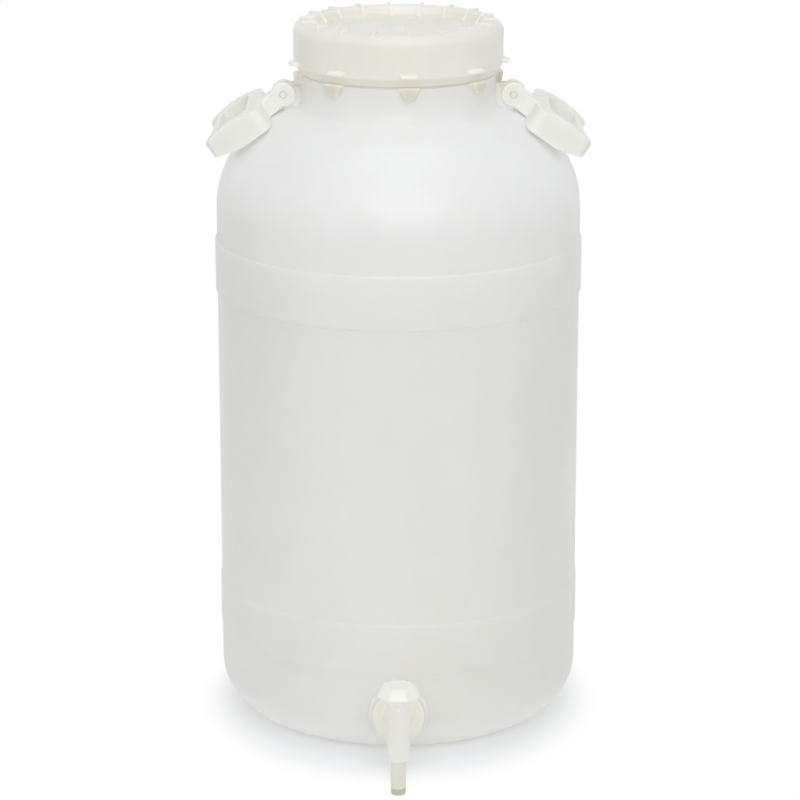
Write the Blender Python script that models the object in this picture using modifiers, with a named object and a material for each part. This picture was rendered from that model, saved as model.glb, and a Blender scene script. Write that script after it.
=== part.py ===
"""Wide-mouth plastic drum: moulded body, screw lid over a loose inner lid, two folding
handles pinned beside the neck, and a plug tap near the foot.

Metres, +Z up. Every piece hangs on the empty drum_axis, whose Z axis is the middle of the
drum. The tap points to -Y and the handles fold out to -X and +X. The world origin is the
middle of the whole object's footprint, on the floor.
"""
import math

import bmesh
import bpy
from mathutils import Matrix, Vector

# Shared by all pieces
TOUCH_GAP = 0.0003
OVERRUN = 0.004
ROUND_STEPS = 60
SMALL_STEPS = 26
ARC_STEPS = 6
SHARP_ANGLE = math.radians(32.0)

# Drum body: a blow-moulded shell
BODY_RADIUS = 0.1714
BODY_WALL = 0.0028
BASE_FILLET = 0.048
STANDING_RING = 0.0114
PUSH_UP_HEIGHT = 0.006
PUSH_UP_SLOPE = 0.008
RIM_HEIGHT = 0.6530
NECK_RISE = 0.0624
SHOULDER_RADIUS = 0.097
NECK_RADIUS = 0.0910
NECK_FILLET = 0.010
FINISH_STEP = 0.0025
FINISH_HEIGHT = 0.0305

# Two raised bands round the wall
LOWER_BAND_ABOVE_FILLET = 0.037
LOWER_BAND_WIDTH = 0.048
LOWER_BAND_RISE = 0.0010
UPPER_BAND_BELOW_SHOULDER = 0.0286
UPPER_BAND_WIDTH = 0.050
UPPER_BAND_RISE = 0.0018
BAND_SLOPE = 0.003

# Lugs round the neck
LUG_COUNT = 8
LUG_TURN = math.radians(6.2)
LUG_REACH = 0.0070
LUG_FOOT_REACH = 0.0062
LUG_TOP_WIDTH = 0.020
LUG_FOOT_WIDTH = 0.009
LUG_HEIGHT = 0.011
LUG_BELOW_LID = 0.0009

# Screw lid. Its fins stand across the rim and run down into the recess, two to a tab
LID_WALL = 0.0026
LID_HEIGHT = 0.0474
THREAD_SPACE = 0.0069
LID_CHAMFER = 0.0052
LID_CHAMFER_HEIGHT = 0.0062
LID_SHOULDER_ROUND = 0.009
LID_RIM_WIDTH = 0.0190
LID_RECESS_DEPTH = 0.0085
LID_PLATE = 0.0025
FINS_PER_TAB = 2
FIN_WIDTH = 0.0026
FIN_RISE = 0.0030
FIN_OUTER_INSET = 0.0050
FIN_DRAFT = 0.0008
FIN_REACH_IN = 0.0055
FIN_FOOT = 0.0015
FIN_EMBED = 0.0020
TAB_COUNT = 9
TAB_TURN = math.radians(5.6)
TAB_REACH = 0.0060
TAB_WIDTH = 0.0180
TAB_TIP_WIDTH = 0.0155
TAB_TIP_HEIGHT = 0.0028
TAB_ROOT_HEIGHT = 0.0042
TAB_ABOVE_CHAMFER = 0.0026

# Inner lid and its seal, clamped on the rim by the screw lid
INNER_FLANGE = 0.0030
INNER_PLUG_DEPTH = 0.0150
INNER_PLUG_WALL = 0.0025
INNER_FLOOR = 0.0025
INNER_PLUG_CLEARANCE = 0.0007
SEAL_THICKNESS = 0.0021
GRIP_END_GAP = 0.0275
GRIP_WIDTH = 0.005
GRIP_HEIGHT = 0.011

# Handles. u runs out from the hinge along the plate, v along the hinge, w up from the plate
HINGE_OUT = 0.0165
HINGE_RISE = 0.0099
EYE_RADIUS = 0.0115
EYE_THICKNESS = 0.0042
HORN_INSET = 0.0010
HORN_THICKNESS = 0.012
HORN_SLOT_DEPTH = 0.0025
PIN_RADIUS = 0.0030
PLATE_ROOT = 0.0095
PLATE_LENGTH = 0.062
PLATE_CREST = 0.0136
PLATE_ARCH_RADIUS = 0.100
PLATE_HALF_WIDTH = 0.058
PLATE_CORNER = 0.010
PLATE_END_ROUND = 0.0045
LOBE_ROUND = 0.010
WAIST_DEPTH = 0.0085
WAIST_SHARE = 0.42
OUTER_DEPTH = 0.0055
SKIRT_DEPTH = 0.0128
SKIRT_STOP = 0.029
SKIRT_BITE = 0.0032
ROOT_BAR = 0.013
GRIP_BAR = 0.019
SIDE_BAR = 0.015
WINDOW_ROUND = 0.009
YOKE_FLARE = 0.012
YOKE_UNDER_EYE = 0.0020
YOKE_BELOW_EYE_TOP = 0.0037
YOKE_INSET = 0.0006

# Tap. Its stem runs along Y through the wall, its plug stands upright at the far end
TAP_HEIGHT = 0.0475
TAP_REACH = 0.0915
PAD_RADIUS = 0.028
PAD_RISE = 0.0046
STEM_RADIUS = 0.0132
STEM_BORE = 0.0070
STEM_INSIDE = 0.022
BARREL_RADIUS = 0.0105
FLANGE_RADIUS = 0.024
FLANGE_THICKNESS = 0.004
WASHER_THICKNESS = 0.0020
WASHER_INSET = 0.0037
NUT_INSET = 0.0067
NUT_THICKNESS = 0.008
HOUSING_FOOT_WALL = 0.0015
HOUSING_HEIGHT = 0.061
HOUSING_TOP_WALL = 0.0025
HOUSING_BOTTOM_WALL = 0.0018
PLUG_TOP_RADIUS = 0.0092
PLUG_BOTTOM_RADIUS = 0.0074
NOZZLE_STEP = 0.0004
NOZZLE_WALL = 0.0022
NOZZLE_BOTTOM = 0.006
PORT_RADIUS = 0.0045
TANG_WIDTH = 0.0085
TANG_HEIGHT = 0.0065
KNOB_ACROSS = 0.039
KNOB_HEIGHT = 0.0103
KNOB_EDGE = 0.0018
KNOB_SIDES = 8
NUT_SIDES = 6

# Worked out from the sizes above: the body
PUSH_UP_RADIUS = BODY_RADIUS - BASE_FILLET - STANDING_RING - PUSH_UP_SLOPE
SHOULDER_CENTRE = BODY_RADIUS - SHOULDER_RADIUS
SHOULDER_START = RIM_HEIGHT - NECK_RISE - SHOULDER_RADIUS
FINISH_RADIUS = NECK_RADIUS - FINISH_STEP
FINISH_START = RIM_HEIGHT - FINISH_HEIGHT
NECK_BORE = FINISH_RADIUS - BODY_WALL
UPPER_BAND_TOP = SHOULDER_START - UPPER_BAND_BELOW_SHOULDER
UPPER_BAND_BOTTOM = UPPER_BAND_TOP - UPPER_BAND_WIDTH
LOWER_BAND_BOTTOM = BASE_FILLET + LOWER_BAND_ABOVE_FILLET
LOWER_BAND_TOP = LOWER_BAND_BOTTOM + LOWER_BAND_WIDTH

# The lids, stacked on the rim
FLANGE_UNDERSIDE = RIM_HEIGHT + SEAL_THICKNESS + 2 * TOUCH_GAP
FLANGE_TOP = FLANGE_UNDERSIDE + INNER_FLANGE
LID_PLATE_UNDERSIDE = FLANGE_TOP + TOUCH_GAP
LID_TOP = LID_PLATE_UNDERSIDE + LID_PLATE + LID_RECESS_DEPTH
LID_BOTTOM = LID_TOP - LID_HEIGHT
LID_RADIUS = FINISH_RADIUS + THREAD_SPACE + LID_WALL
LID_RECESS_RADIUS = LID_RADIUS - LID_RIM_WIDTH
INNER_PLUG_RADIUS = NECK_BORE - INNER_PLUG_CLEARANCE
INNER_DISH_RADIUS = INNER_PLUG_RADIUS - INNER_PLUG_WALL

# The handles. Their droop lets the skirt bite a little into the shoulder, which trims it
HINGE_REACH = NECK_RADIUS + HINGE_OUT
HINGE_HEIGHT = SHOULDER_START + SHOULDER_RADIUS + HINGE_RISE
HINGE_ARM = math.hypot(HINGE_REACH - SHOULDER_CENTRE, HINGE_HEIGHT - SHOULDER_START)
HINGE_LEAN = math.atan2(HINGE_REACH - SHOULDER_CENTRE, HINGE_HEIGHT - SHOULDER_START)
HANDLE_DROOP = HINGE_LEAN + math.acos((SHOULDER_RADIUS + SKIRT_DEPTH - SKIRT_BITE) / HINGE_ARM)
HORN_RADIUS = EYE_RADIUS - HORN_INSET
YOKE_DEPTH = EYE_RADIUS - YOKE_UNDER_EYE
YOKE_TOP = EYE_RADIUS - YOKE_BELOW_EYE_TOP
PLATE_START = EYE_RADIUS + PLATE_ROOT
PLATE_END = PLATE_START + PLATE_LENGTH
WINDOW_START = PLATE_START + ROOT_BAR
WINDOW_END = PLATE_END - GRIP_BAR
WINDOW_HALF_WIDTH = PLATE_HALF_WIDTH - SIDE_BAR
SKIRT_END = PLATE_END - SKIRT_STOP

# The tap
PAD_FACE = BODY_RADIUS + PAD_RISE
POCKET_RADIUS = PAD_RADIUS - BODY_WALL
WASHER_RADIUS = POCKET_RADIUS - WASHER_INSET
NUT_ACROSS_FLATS = 2 * (POCKET_RADIUS - NUT_INSET)
HOUSING_BOTTOM = TAP_HEIGHT - STEM_BORE - HOUSING_FOOT_WALL
HOUSING_TOP = HOUSING_BOTTOM + HOUSING_HEIGHT
HOUSING_TOP_RADIUS = PLUG_TOP_RADIUS + TOUCH_GAP + HOUSING_TOP_WALL
HOUSING_BOTTOM_RADIUS = PLUG_BOTTOM_RADIUS + TOUCH_GAP + HOUSING_BOTTOM_WALL
NOZZLE_RADIUS = PLUG_BOTTOM_RADIUS - NOZZLE_STEP
NOZZLE_BORE = NOZZLE_RADIUS - NOZZLE_WALL
TAP_FRONT = BODY_RADIUS + TAP_REACH
HOUSING_AXIS = Vector((0.0, -TAP_FRONT, 0.0))
LUG_TOP = LID_BOTTOM - LUG_BELOW_LID
FRONT_REACH = TAP_FRONT + KNOB_ACROSS / 2
REAR_REACH = BODY_RADIUS + UPPER_BAND_RISE
FRAME_SHIFT = (FRONT_REACH - REAR_REACH) / 2

DRUM_PLASTIC = ("drum_plastic", (0.80, 0.82, 0.83), 0.42)
LID_PLASTIC = ("lid_plastic", (0.80, 0.79, 0.71), 0.38)
HANDLE_PLASTIC = ("handle_plastic", (0.82, 0.82, 0.75), 0.40)
TAP_PLASTIC = ("tap_plastic", (0.77, 0.76, 0.68), 0.35)
KNOB_PLASTIC = ("knob_plastic", (0.84, 0.84, 0.79), 0.35)
SEAL_RUBBER = ("seal_rubber", (0.62, 0.60, 0.55), 0.80)


def clear_scene():
    """Remove the objects that the file opened with."""
    for obj in list(bpy.data.objects):
        bpy.data.objects.remove(obj, do_unlink=True)


def collection(name):
    """Return a new collection that is linked to the scene."""
    made = bpy.data.collections.new(name)
    bpy.context.scene.collection.children.link(made)
    return made


def plastic(finish):
    """Return the material of a (name, colour, roughness) finish, made once."""
    name, colour, roughness = finish
    found = bpy.data.materials.get(name)
    if found:
        return found
    made = bpy.data.materials.new(name)
    made.use_nodes = True
    shader = made.node_tree.nodes["Principled BSDF"]
    shader.inputs["Base Color"].default_value = (*colour, 1.0)
    shader.inputs["Roughness"].default_value = roughness
    shader.inputs["Metallic"].default_value = 0.0
    return made


# Points of outlines

def arc(centre, radius, start, end, steps=ARC_STEPS):
    """Return points on an arc from angle start to angle end, in radians."""
    turn = (end - start) / steps
    angles = [start + turn * step for step in range(steps + 1)]
    return [(centre[0] + radius * math.cos(a), centre[1] + radius * math.sin(a)) for a in angles]


def rounded(corners, radii, steps=ARC_STEPS):
    """Return a closed outline whose corners are rounded, each by its own radius."""
    points = []
    count = len(corners)
    for index, corner in enumerate(corners):
        here = Vector(corner)
        back = (Vector(corners[index - 1]) - here).normalized()
        ahead = (Vector(corners[(index + 1) % count]) - here).normalized()
        half = back.angle(ahead) / 2
        reach = radii[index] / math.tan(half)
        middle = here + (back + ahead).normalized() * radii[index] / math.sin(half)
        first = here + back * reach - middle
        sweep = first.angle_signed(here + ahead * reach - middle)
        for step in range(steps + 1):
            turned_arm = Matrix.Rotation(-sweep * step / steps, 2) @ first
            points.append(tuple(middle + turned_arm))
    return points


# Making shapes

class Workshop:
    """Holds the two collections and the frame, and makes shapes in them."""

    def __init__(self):
        self.parts = collection("wide_mouth_drum")
        self.cutters = collection("cutters")
        self.frame = bpy.data.objects.new("drum_axis", None)
        self.frame.location = (0.0, FRAME_SHIFT, 0.0)
        self.parts.objects.link(self.frame)

    def add(self, name, data, parent=None):
        """Link a new object under the frame, or under an empty of its own."""
        obj = bpy.data.objects.new(name, data)
        obj.parent = parent or self.frame
        self.parts.objects.link(obj)
        return obj

    def empty(self, name, place, turn=(0.0, 0.0, 0.0)):
        """Return an empty that stands on a joint's axis."""
        obj = self.add(name, None)
        obj.location = place
        obj.rotation_euler = turn
        return obj

    def as_cutter(self, obj):
        """Move a shape to the cutters, out of sight."""
        self.parts.objects.unlink(obj)
        self.cutters.objects.link(obj)
        obj.hide_render = True
        obj.display_type = "WIRE"
        return obj

    def settle(self, obj):
        """Replace an object by its evaluated mesh: welded, smooth, with sharp corners."""
        bpy.context.view_layer.update()
        graph = bpy.context.evaluated_depsgraph_get()
        mesh = bpy.data.meshes.new_from_object(obj.evaluated_get(graph))
        shape = bmesh.new()
        shape.from_mesh(mesh)
        bmesh.ops.remove_doubles(shape, verts=shape.verts, dist=TOUCH_GAP / 100)
        bmesh.ops.recalc_face_normals(shape, faces=shape.faces)
        shape.to_mesh(mesh)
        shape.free()
        mesh.shade_smooth()
        mesh.set_sharp_from_angle(angle=SHARP_ANGLE)
        name = obj.name
        parent = obj.parent
        bpy.data.objects.remove(obj)
        return self.add(name, mesh, parent)

    def turned(self, name, outline, steps=ROUND_STEPS, closed=False, parent=None):
        """Return a shape turned about Z from (radius, height) points, outer side downwards."""
        profile = bpy.data.meshes.new(name)
        count = len(outline)
        edges = [(n, n + 1) for n in range(count - 1)]
        if closed:
            edges.append((count - 1, 0))
        profile.from_pydata([(r, 0.0, z) for r, z in outline], edges, [])
        obj = self.add(name, profile, parent)
        screw = obj.modifiers.new("turn", "SCREW")
        screw.axis = "Z"
        screw.angle = math.tau
        screw.steps = steps
        screw.render_steps = steps
        screw.use_merge_vertices = True
        screw.merge_threshold = TOUCH_GAP / 100
        return self.settle(obj)

    def slab(self, name, outline, low, high, parent=None, edge=0.0, hole=None):
        """Return a flat outline in XY, raised from low to high, its edges rounded by edge."""
        curve = bpy.data.curves.new(name, "CURVE")
        curve.dimensions = "2D"
        curve.fill_mode = "BOTH"
        curve.extrude = (high - low) / 2
        for loop in (outline, hole):
            if loop is None:
                continue
            spline = curve.splines.new("POLY")
            spline.points.add(len(loop) - 1)
            spline.use_cyclic_u = True
            for point, (x, y) in zip(spline.points, loop):
                point.co = (x, y, 0.0, 1.0)
        obj = self.settle(self.add(name, curve, parent))
        obj.data.transform(Matrix.Translation((0.0, 0.0, (low + high) / 2)))
        if edge:
            bevel = obj.modifiers.new("edge", "BEVEL")
            bevel.width = edge
            bevel.segments = 2
            bevel.limit_method = "ANGLE"
            bevel.angle_limit = math.radians(60.0)
            obj = self.settle(obj)
        return obj

    def rod(self, name, start, end, radius, end_radius=None, steps=SMALL_STEPS, parent=None):
        """Return a solid rod or cone between two points."""
        start, end = Vector(start), Vector(end)
        along = end - start
        mesh = bpy.data.meshes.new(name)
        shape = bmesh.new()
        bmesh.ops.create_cone(shape, cap_ends=True, segments=steps, radius1=radius,
                              radius2=radius if end_radius is None else end_radius,
                              depth=along.length)
        turn = along.to_track_quat("Z", "Y").to_matrix().to_4x4()
        bmesh.ops.transform(shape, verts=shape.verts,
                            matrix=Matrix.Translation((start + end) / 2) @ turn)
        shape.to_mesh(mesh)
        shape.free()
        mesh.shade_smooth()
        mesh.set_sharp_from_angle(angle=SHARP_ANGLE)
        return self.add(name, mesh, parent)

    def block(self, name, low, high, parent=None):
        """Return a box between two corners."""
        low, high = Vector(low), Vector(high)
        mesh = bpy.data.meshes.new(name)
        shape = bmesh.new()
        bmesh.ops.create_cube(shape, size=1.0)
        bmesh.ops.scale(shape, verts=shape.verts, vec=high - low)
        bmesh.ops.translate(shape, verts=shape.verts, vec=(low + high) / 2)
        shape.to_mesh(mesh)
        shape.free()
        return self.add(name, mesh, parent)

    def ring_of(self, name, count, first_turn, make):
        """Return one cutter that holds count copies of a shape, spaced evenly about Z."""
        shape = bmesh.new()
        seed = make()
        for copy in range(count):
            before = len(shape.verts)
            shape.from_mesh(seed.data)
            shape.verts.ensure_lookup_table()
            turn = Matrix.Rotation(first_turn + math.tau * copy / count, 4, "Z")
            bmesh.ops.transform(shape, verts=shape.verts[before:], matrix=turn)
        mesh = bpy.data.meshes.new(name)
        shape.to_mesh(mesh)
        shape.free()
        bpy.data.objects.remove(seed)
        return self.add(name, mesh)

    def combine(self, target, tool, operation):
        """Join, cut or intersect target with tool, which becomes a cutter."""
        if tool.name not in self.cutters.objects:
            self.as_cutter(tool)
        step = target.modifiers.new(tool.name, "BOOLEAN")
        step.operation = operation
        step.solver = "EXACT"
        step.object = tool

    def join(self, target, tool):
        """Fuse tool into target."""
        self.combine(target, tool, "UNION")

    def cut(self, target, tool):
        """Take tool out of target."""
        self.combine(target, tool, "DIFFERENCE")


def finish(obj, coat):
    """Give a finished piece its material."""
    obj.data.materials.clear()
    obj.data.materials.append(plastic(coat))
    return obj


def leaning_block(shop, name, near, far, low, high, near_half, far_half, lift=0.0):
    """Return a block from radius near to far towards -Y, with a width at each end.

    low and high are heights at the near end. At the far end the block is lift lower on top.
    """
    obj = shop.block(name, (-near_half, -far, low), (near_half, -near, high))
    for vert in obj.data.vertices:
        if vert.co.y < -(near + far) / 2:
            vert.co.x *= far_half / near_half
            if vert.co.z > (low + high) / 2:
                vert.co.z -= lift
    return obj


# The drum body

def neck_fillet():
    """Return the centre of the fillet between neck and shoulder, and its lowest angle."""
    centre_radius = NECK_RADIUS + NECK_FILLET
    across = centre_radius - SHOULDER_CENTRE
    rise = math.sqrt((SHOULDER_RADIUS + NECK_FILLET) ** 2 - across ** 2)
    return (centre_radius, SHOULDER_START + rise), math.atan2(rise, across)


def drum_profile(inset, bands=False, top=RIM_HEIGHT):
    """Return the drum's profile from the rim down to the middle of its base.

    inset moves it into the wall, for the inside, or out of it where it is negative.
    """
    fillet_centre, touch = neck_fillet()
    wall = BODY_RADIUS - inset
    step = NECK_RADIUS - FINISH_RADIUS
    shoulder_centre = (SHOULDER_CENTRE, SHOULDER_START)
    base_centre = (BODY_RADIUS - BASE_FILLET, BASE_FILLET)
    profile = [(0.0, top), (FINISH_RADIUS - inset, top), (FINISH_RADIUS - inset, FINISH_START)]
    profile.append((NECK_RADIUS - inset, FINISH_START - step))
    profile += arc(fillet_centre, NECK_FILLET + inset, math.pi, math.pi + touch, 3)
    profile += arc(shoulder_centre, SHOULDER_RADIUS - inset, touch, 0.0, 7)[1:]
    if bands:
        for bottom, edge_top, rise in ((UPPER_BAND_BOTTOM, UPPER_BAND_TOP, UPPER_BAND_RISE),
                                       (LOWER_BAND_BOTTOM, LOWER_BAND_TOP, LOWER_BAND_RISE)):
            profile += [(wall, edge_top + BAND_SLOPE / 2), (wall + rise, edge_top - BAND_SLOPE / 2),
                        (wall + rise, bottom + BAND_SLOPE / 2), (wall, bottom - BAND_SLOPE / 2)]
    profile += arc(base_centre, BASE_FILLET - inset, 0.0, -math.pi / 2)
    profile += [(PUSH_UP_RADIUS + PUSH_UP_SLOPE, inset), (PUSH_UP_RADIUS, PUSH_UP_HEIGHT + inset),
                (0.0, PUSH_UP_HEIGHT + inset)]
    return profile


def neck_lug(shop):
    """Return one lug: a bracket on the neck, wide on top and narrow at its foot."""
    root = NECK_RADIUS - BODY_WALL / 2
    top = (root, NECK_RADIUS + LUG_REACH, LUG_TOP_WIDTH / 2)
    foot = (root, NECK_RADIUS + LUG_FOOT_REACH, LUG_FOOT_WIDTH / 2)
    obj = shop.block("neck_lug", (-top[2], -top[1], LUG_TOP - LUG_HEIGHT), (top[2], -top[0], LUG_TOP))
    for vert in obj.data.vertices:
        if vert.co.z < LUG_TOP - LUG_HEIGHT / 2:
            vert.co.x *= foot[2] / top[2]
            vert.co.y = max(vert.co.y, -foot[1])
    return obj


def handle_horn(shop, side):
    """Return the moulded tongue that carries one handle's pin."""
    half = HORN_THICKNESS / 2
    hinge = (side * HINGE_REACH, HINGE_HEIGHT)
    inner = side * (NECK_RADIUS - BODY_WALL)
    top = HINGE_HEIGHT + HORN_RADIUS
    foot = SHOULDER_START + SHOULDER_RADIUS - NECK_FILLET
    round_end = arc(hinge, HORN_RADIUS, math.pi / 2, math.pi / 2 - side * math.pi, 10)
    outline = [(inner, foot), (inner, top)] + round_end + [(hinge[0], foot)]
    obj = shop.slab(f"horn_{'right' if side > 0 else 'left'}", outline, -half, half)
    obj.data.transform(Matrix.Rotation(math.pi / 2, 4, "X"))
    return obj


def build_drum_body(shop):
    """Make the drum's shell with bands, lugs, horns and the flat pad for the tap."""
    body = shop.turned("drum_body", drum_profile(0.0, bands=True))
    pad = shop.rod("tap_pad", (0, -PAD_FACE, TAP_HEIGHT), (0, -BODY_RADIUS / 2, TAP_HEIGHT),
                   PAD_RADIUS, steps=ROUND_STEPS // 2)
    shop.join(body, pad)
    shop.join(body, shop.ring_of("neck_lugs", LUG_COUNT, LUG_TURN, lambda: neck_lug(shop)))
    for side in (-1, 1):
        shop.join(body, handle_horn(shop, side))
    shop.cut(body, shop.turned("drum_hollow", drum_profile(BODY_WALL, top=RIM_HEIGHT + OVERRUN)))
    shop.cut(body, shop.rod("pad_pocket", (0, -PAD_FACE + BODY_WALL, TAP_HEIGHT),
                            (0, -BODY_RADIUS / 2, TAP_HEIGHT), POCKET_RADIUS,
                            steps=ROUND_STEPS // 2))
    shop.cut(body, shop.rod("tap_hole", (0, -PAD_FACE - OVERRUN, TAP_HEIGHT),
                            (0, -BODY_RADIUS / 2, TAP_HEIGHT), STEM_RADIUS + TOUCH_GAP))
    pin_hole = shop.rod("pin_hole", (-HINGE_REACH, HORN_THICKNESS, HINGE_HEIGHT),
                        (-HINGE_REACH, -HORN_THICKNESS, HINGE_HEIGHT), PIN_RADIUS + TOUCH_GAP)
    for side in (-1, 1):
        hole = pin_hole if side < 0 else shop.add("pin_hole_right", pin_hole.data.copy())
        hole.location.x = 0.0 if side < 0 else 2 * HINGE_REACH
        shop.cut(body, hole)
    return finish(body, DRUM_PLASTIC)


# The lids

def lid_profile():
    """Return the screw lid's closed profile: outer side down, then the inside up."""
    inner = LID_RADIUS - LID_WALL
    lip = LID_RADIUS - LID_CHAMFER
    corner = LID_SHOULDER_ROUND
    corner_centre = (LID_RADIUS - corner, LID_TOP - corner)
    recess = LID_RECESS_RADIUS
    floor = LID_TOP - LID_RECESS_DEPTH
    chamfer_top = LID_BOTTOM + LID_CHAMFER_HEIGHT
    outer = [(0.0, floor), (recess, floor), (recess, LID_TOP)]
    outer += arc(corner_centre, corner, math.pi / 2, 0.0, 5)
    outer += [(LID_RADIUS, chamfer_top), (lip, LID_BOTTOM)]
    inside = [(lip - LID_WALL / 2, LID_BOTTOM), (inner, chamfer_top)]
    inside += arc(corner_centre, corner - LID_WALL, 0.0, math.pi / 2, 4)
    inside += [(recess + LID_WALL, LID_TOP - LID_WALL), (recess + LID_WALL, LID_PLATE_UNDERSIDE),
               (0.0, LID_PLATE_UNDERSIDE)]
    return outer + inside


def lid_fin(shop):
    """Return one grip fin, which stands across the rim and runs down the recess wall."""
    outer = LID_RADIUS - FIN_OUTER_INSET
    inner = LID_RECESS_RADIUS - FIN_REACH_IN
    wall = LID_RECESS_RADIUS + LID_WALL / 2
    floor = LID_TOP - LID_RECESS_DEPTH
    crest = LID_TOP + FIN_RISE
    outline = [(inner, floor - LID_PLATE / 2), (wall, floor - LID_PLATE / 2), (wall, LID_TOP - FIN_EMBED),
               (outer, LID_TOP - FIN_EMBED), (outer - FIN_DRAFT, crest), (wall, crest),
               (inner, floor + FIN_FOOT)]
    obj = shop.slab("lid_fin", outline, -FIN_WIDTH / 2, FIN_WIDTH / 2)
    stand = Matrix.Rotation(-math.pi / 2, 4, "Z") @ Matrix.Rotation(math.pi / 2, 4, "X")
    obj.data.transform(stand)
    return obj


def lid_tab(shop):
    """Return one tab low on the lid's wall, deep at its root and thin at its tip."""
    root = LID_RADIUS - LID_WALL / 2
    low = LID_BOTTOM + LID_CHAMFER_HEIGHT + TAB_ABOVE_CHAMFER
    return leaning_block(shop, "lid_tab", root, LID_RADIUS + TAB_REACH, low, low + TAB_ROOT_HEIGHT,
                         TAB_WIDTH / 2, TAB_TIP_WIDTH / 2, TAB_ROOT_HEIGHT - TAB_TIP_HEIGHT)


def build_screw_lid(shop):
    """Make the lid with its recessed top, grip fins and tabs."""
    lid = shop.turned("screw_lid", lid_profile())
    fin_count = TAB_COUNT * FINS_PER_TAB
    shop.join(lid, shop.ring_of("lid_fins", fin_count, TAB_TURN, lambda: lid_fin(shop)))
    shop.join(lid, shop.ring_of("lid_tabs", TAB_COUNT, TAB_TURN, lambda: lid_tab(shop)))
    return finish(lid, LID_PLASTIC)


def build_inner_lid(shop):
    """Make the dished inner lid, with a bar across it to lift it by."""
    plug = INNER_PLUG_RADIUS
    floor_top = FLANGE_UNDERSIDE - INNER_PLUG_DEPTH + INNER_FLOOR
    floor_low = FLANGE_UNDERSIDE - INNER_PLUG_DEPTH
    dish = INNER_DISH_RADIUS
    outline = [(0.0, floor_top), (dish, floor_top), (dish, FLANGE_TOP),
               (FINISH_RADIUS, FLANGE_TOP), (FINISH_RADIUS, FLANGE_UNDERSIDE),
               (plug, FLANGE_UNDERSIDE), (plug, floor_low), (0.0, floor_low)]
    lid = shop.turned("inner_lid", outline, steps=48)
    reach = dish - GRIP_END_GAP
    bar = shop.block("inner_lid_bar", (-reach, -GRIP_WIDTH / 2, floor_low + INNER_FLOOR / 2),
                     (reach, GRIP_WIDTH / 2, floor_top + GRIP_HEIGHT))
    shop.join(lid, bar)
    return finish(lid, LID_PLASTIC)


def flat_ring(shop, name, inner, outer, low, high, steps=48):
    """Return a flat ring about Z."""
    outline = [(inner, high), (outer, high), (outer, low), (inner, low)]
    return shop.turned(name, outline, steps=steps, closed=True)


def build_lid_gasket(shop):
    """Make the flat seal between the neck's rim and the inner lid's flange."""
    top = FLANGE_UNDERSIDE - TOUCH_GAP
    inner = INNER_PLUG_RADIUS + TOUCH_GAP
    ring = flat_ring(shop, "lid_gasket", inner, FINISH_RADIUS, top - SEAL_THICKNESS, top)
    return finish(ring, SEAL_RUBBER)


# The handles

def plate_outline():
    """Return the handle's outline in (u, v): straight arms, two lobes and a waist between."""
    half = PLATE_HALF_WIDTH
    waist = PLATE_END - WAIST_DEPTH
    waist_half = half * WAIST_SHARE
    corners = [(PLATE_START, -half), (PLATE_END, -half), (waist, -waist_half),
               (waist, waist_half), (PLATE_END, half), (PLATE_START, half)]
    radii = [PLATE_CORNER, LOBE_ROUND, LOBE_ROUND, LOBE_ROUND, LOBE_ROUND, PLATE_CORNER]
    return rounded(corners, radii, 4)


def window_outline():
    """Return the outline of the opening that the hand goes through."""
    half = WINDOW_HALF_WIDTH
    corners = [(WINDOW_START, -half), (WINDOW_END, -half), (WINDOW_END, half), (WINDOW_START, half)]
    fillet = min(WINDOW_ROUND, (WINDOW_END - WINDOW_START - TOUCH_GAP) / 2)
    return rounded(corners, [fillet] * 4, 4)


def side_outline():
    """Return the handle's outline in (u, w): arched on top, deep where it leans on the drum."""
    half = (PLATE_END - PLATE_START) / 2
    centre = (PLATE_START + half, PLATE_CREST - PLATE_ARCH_RADIUS)
    near = math.acos(-half / PLATE_ARCH_RADIUS)
    far = math.acos((half - PLATE_END_ROUND) / PLATE_ARCH_RADIUS)
    top = arc(centre, PLATE_ARCH_RADIUS, far, near, 8)
    end = [(PLATE_END, -OUTER_DEPTH), (PLATE_END, top[0][1] - PLATE_END_ROUND)]
    return end + top + [(PLATE_START, -SKIRT_DEPTH), (SKIRT_END, -SKIRT_DEPTH)]


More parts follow.
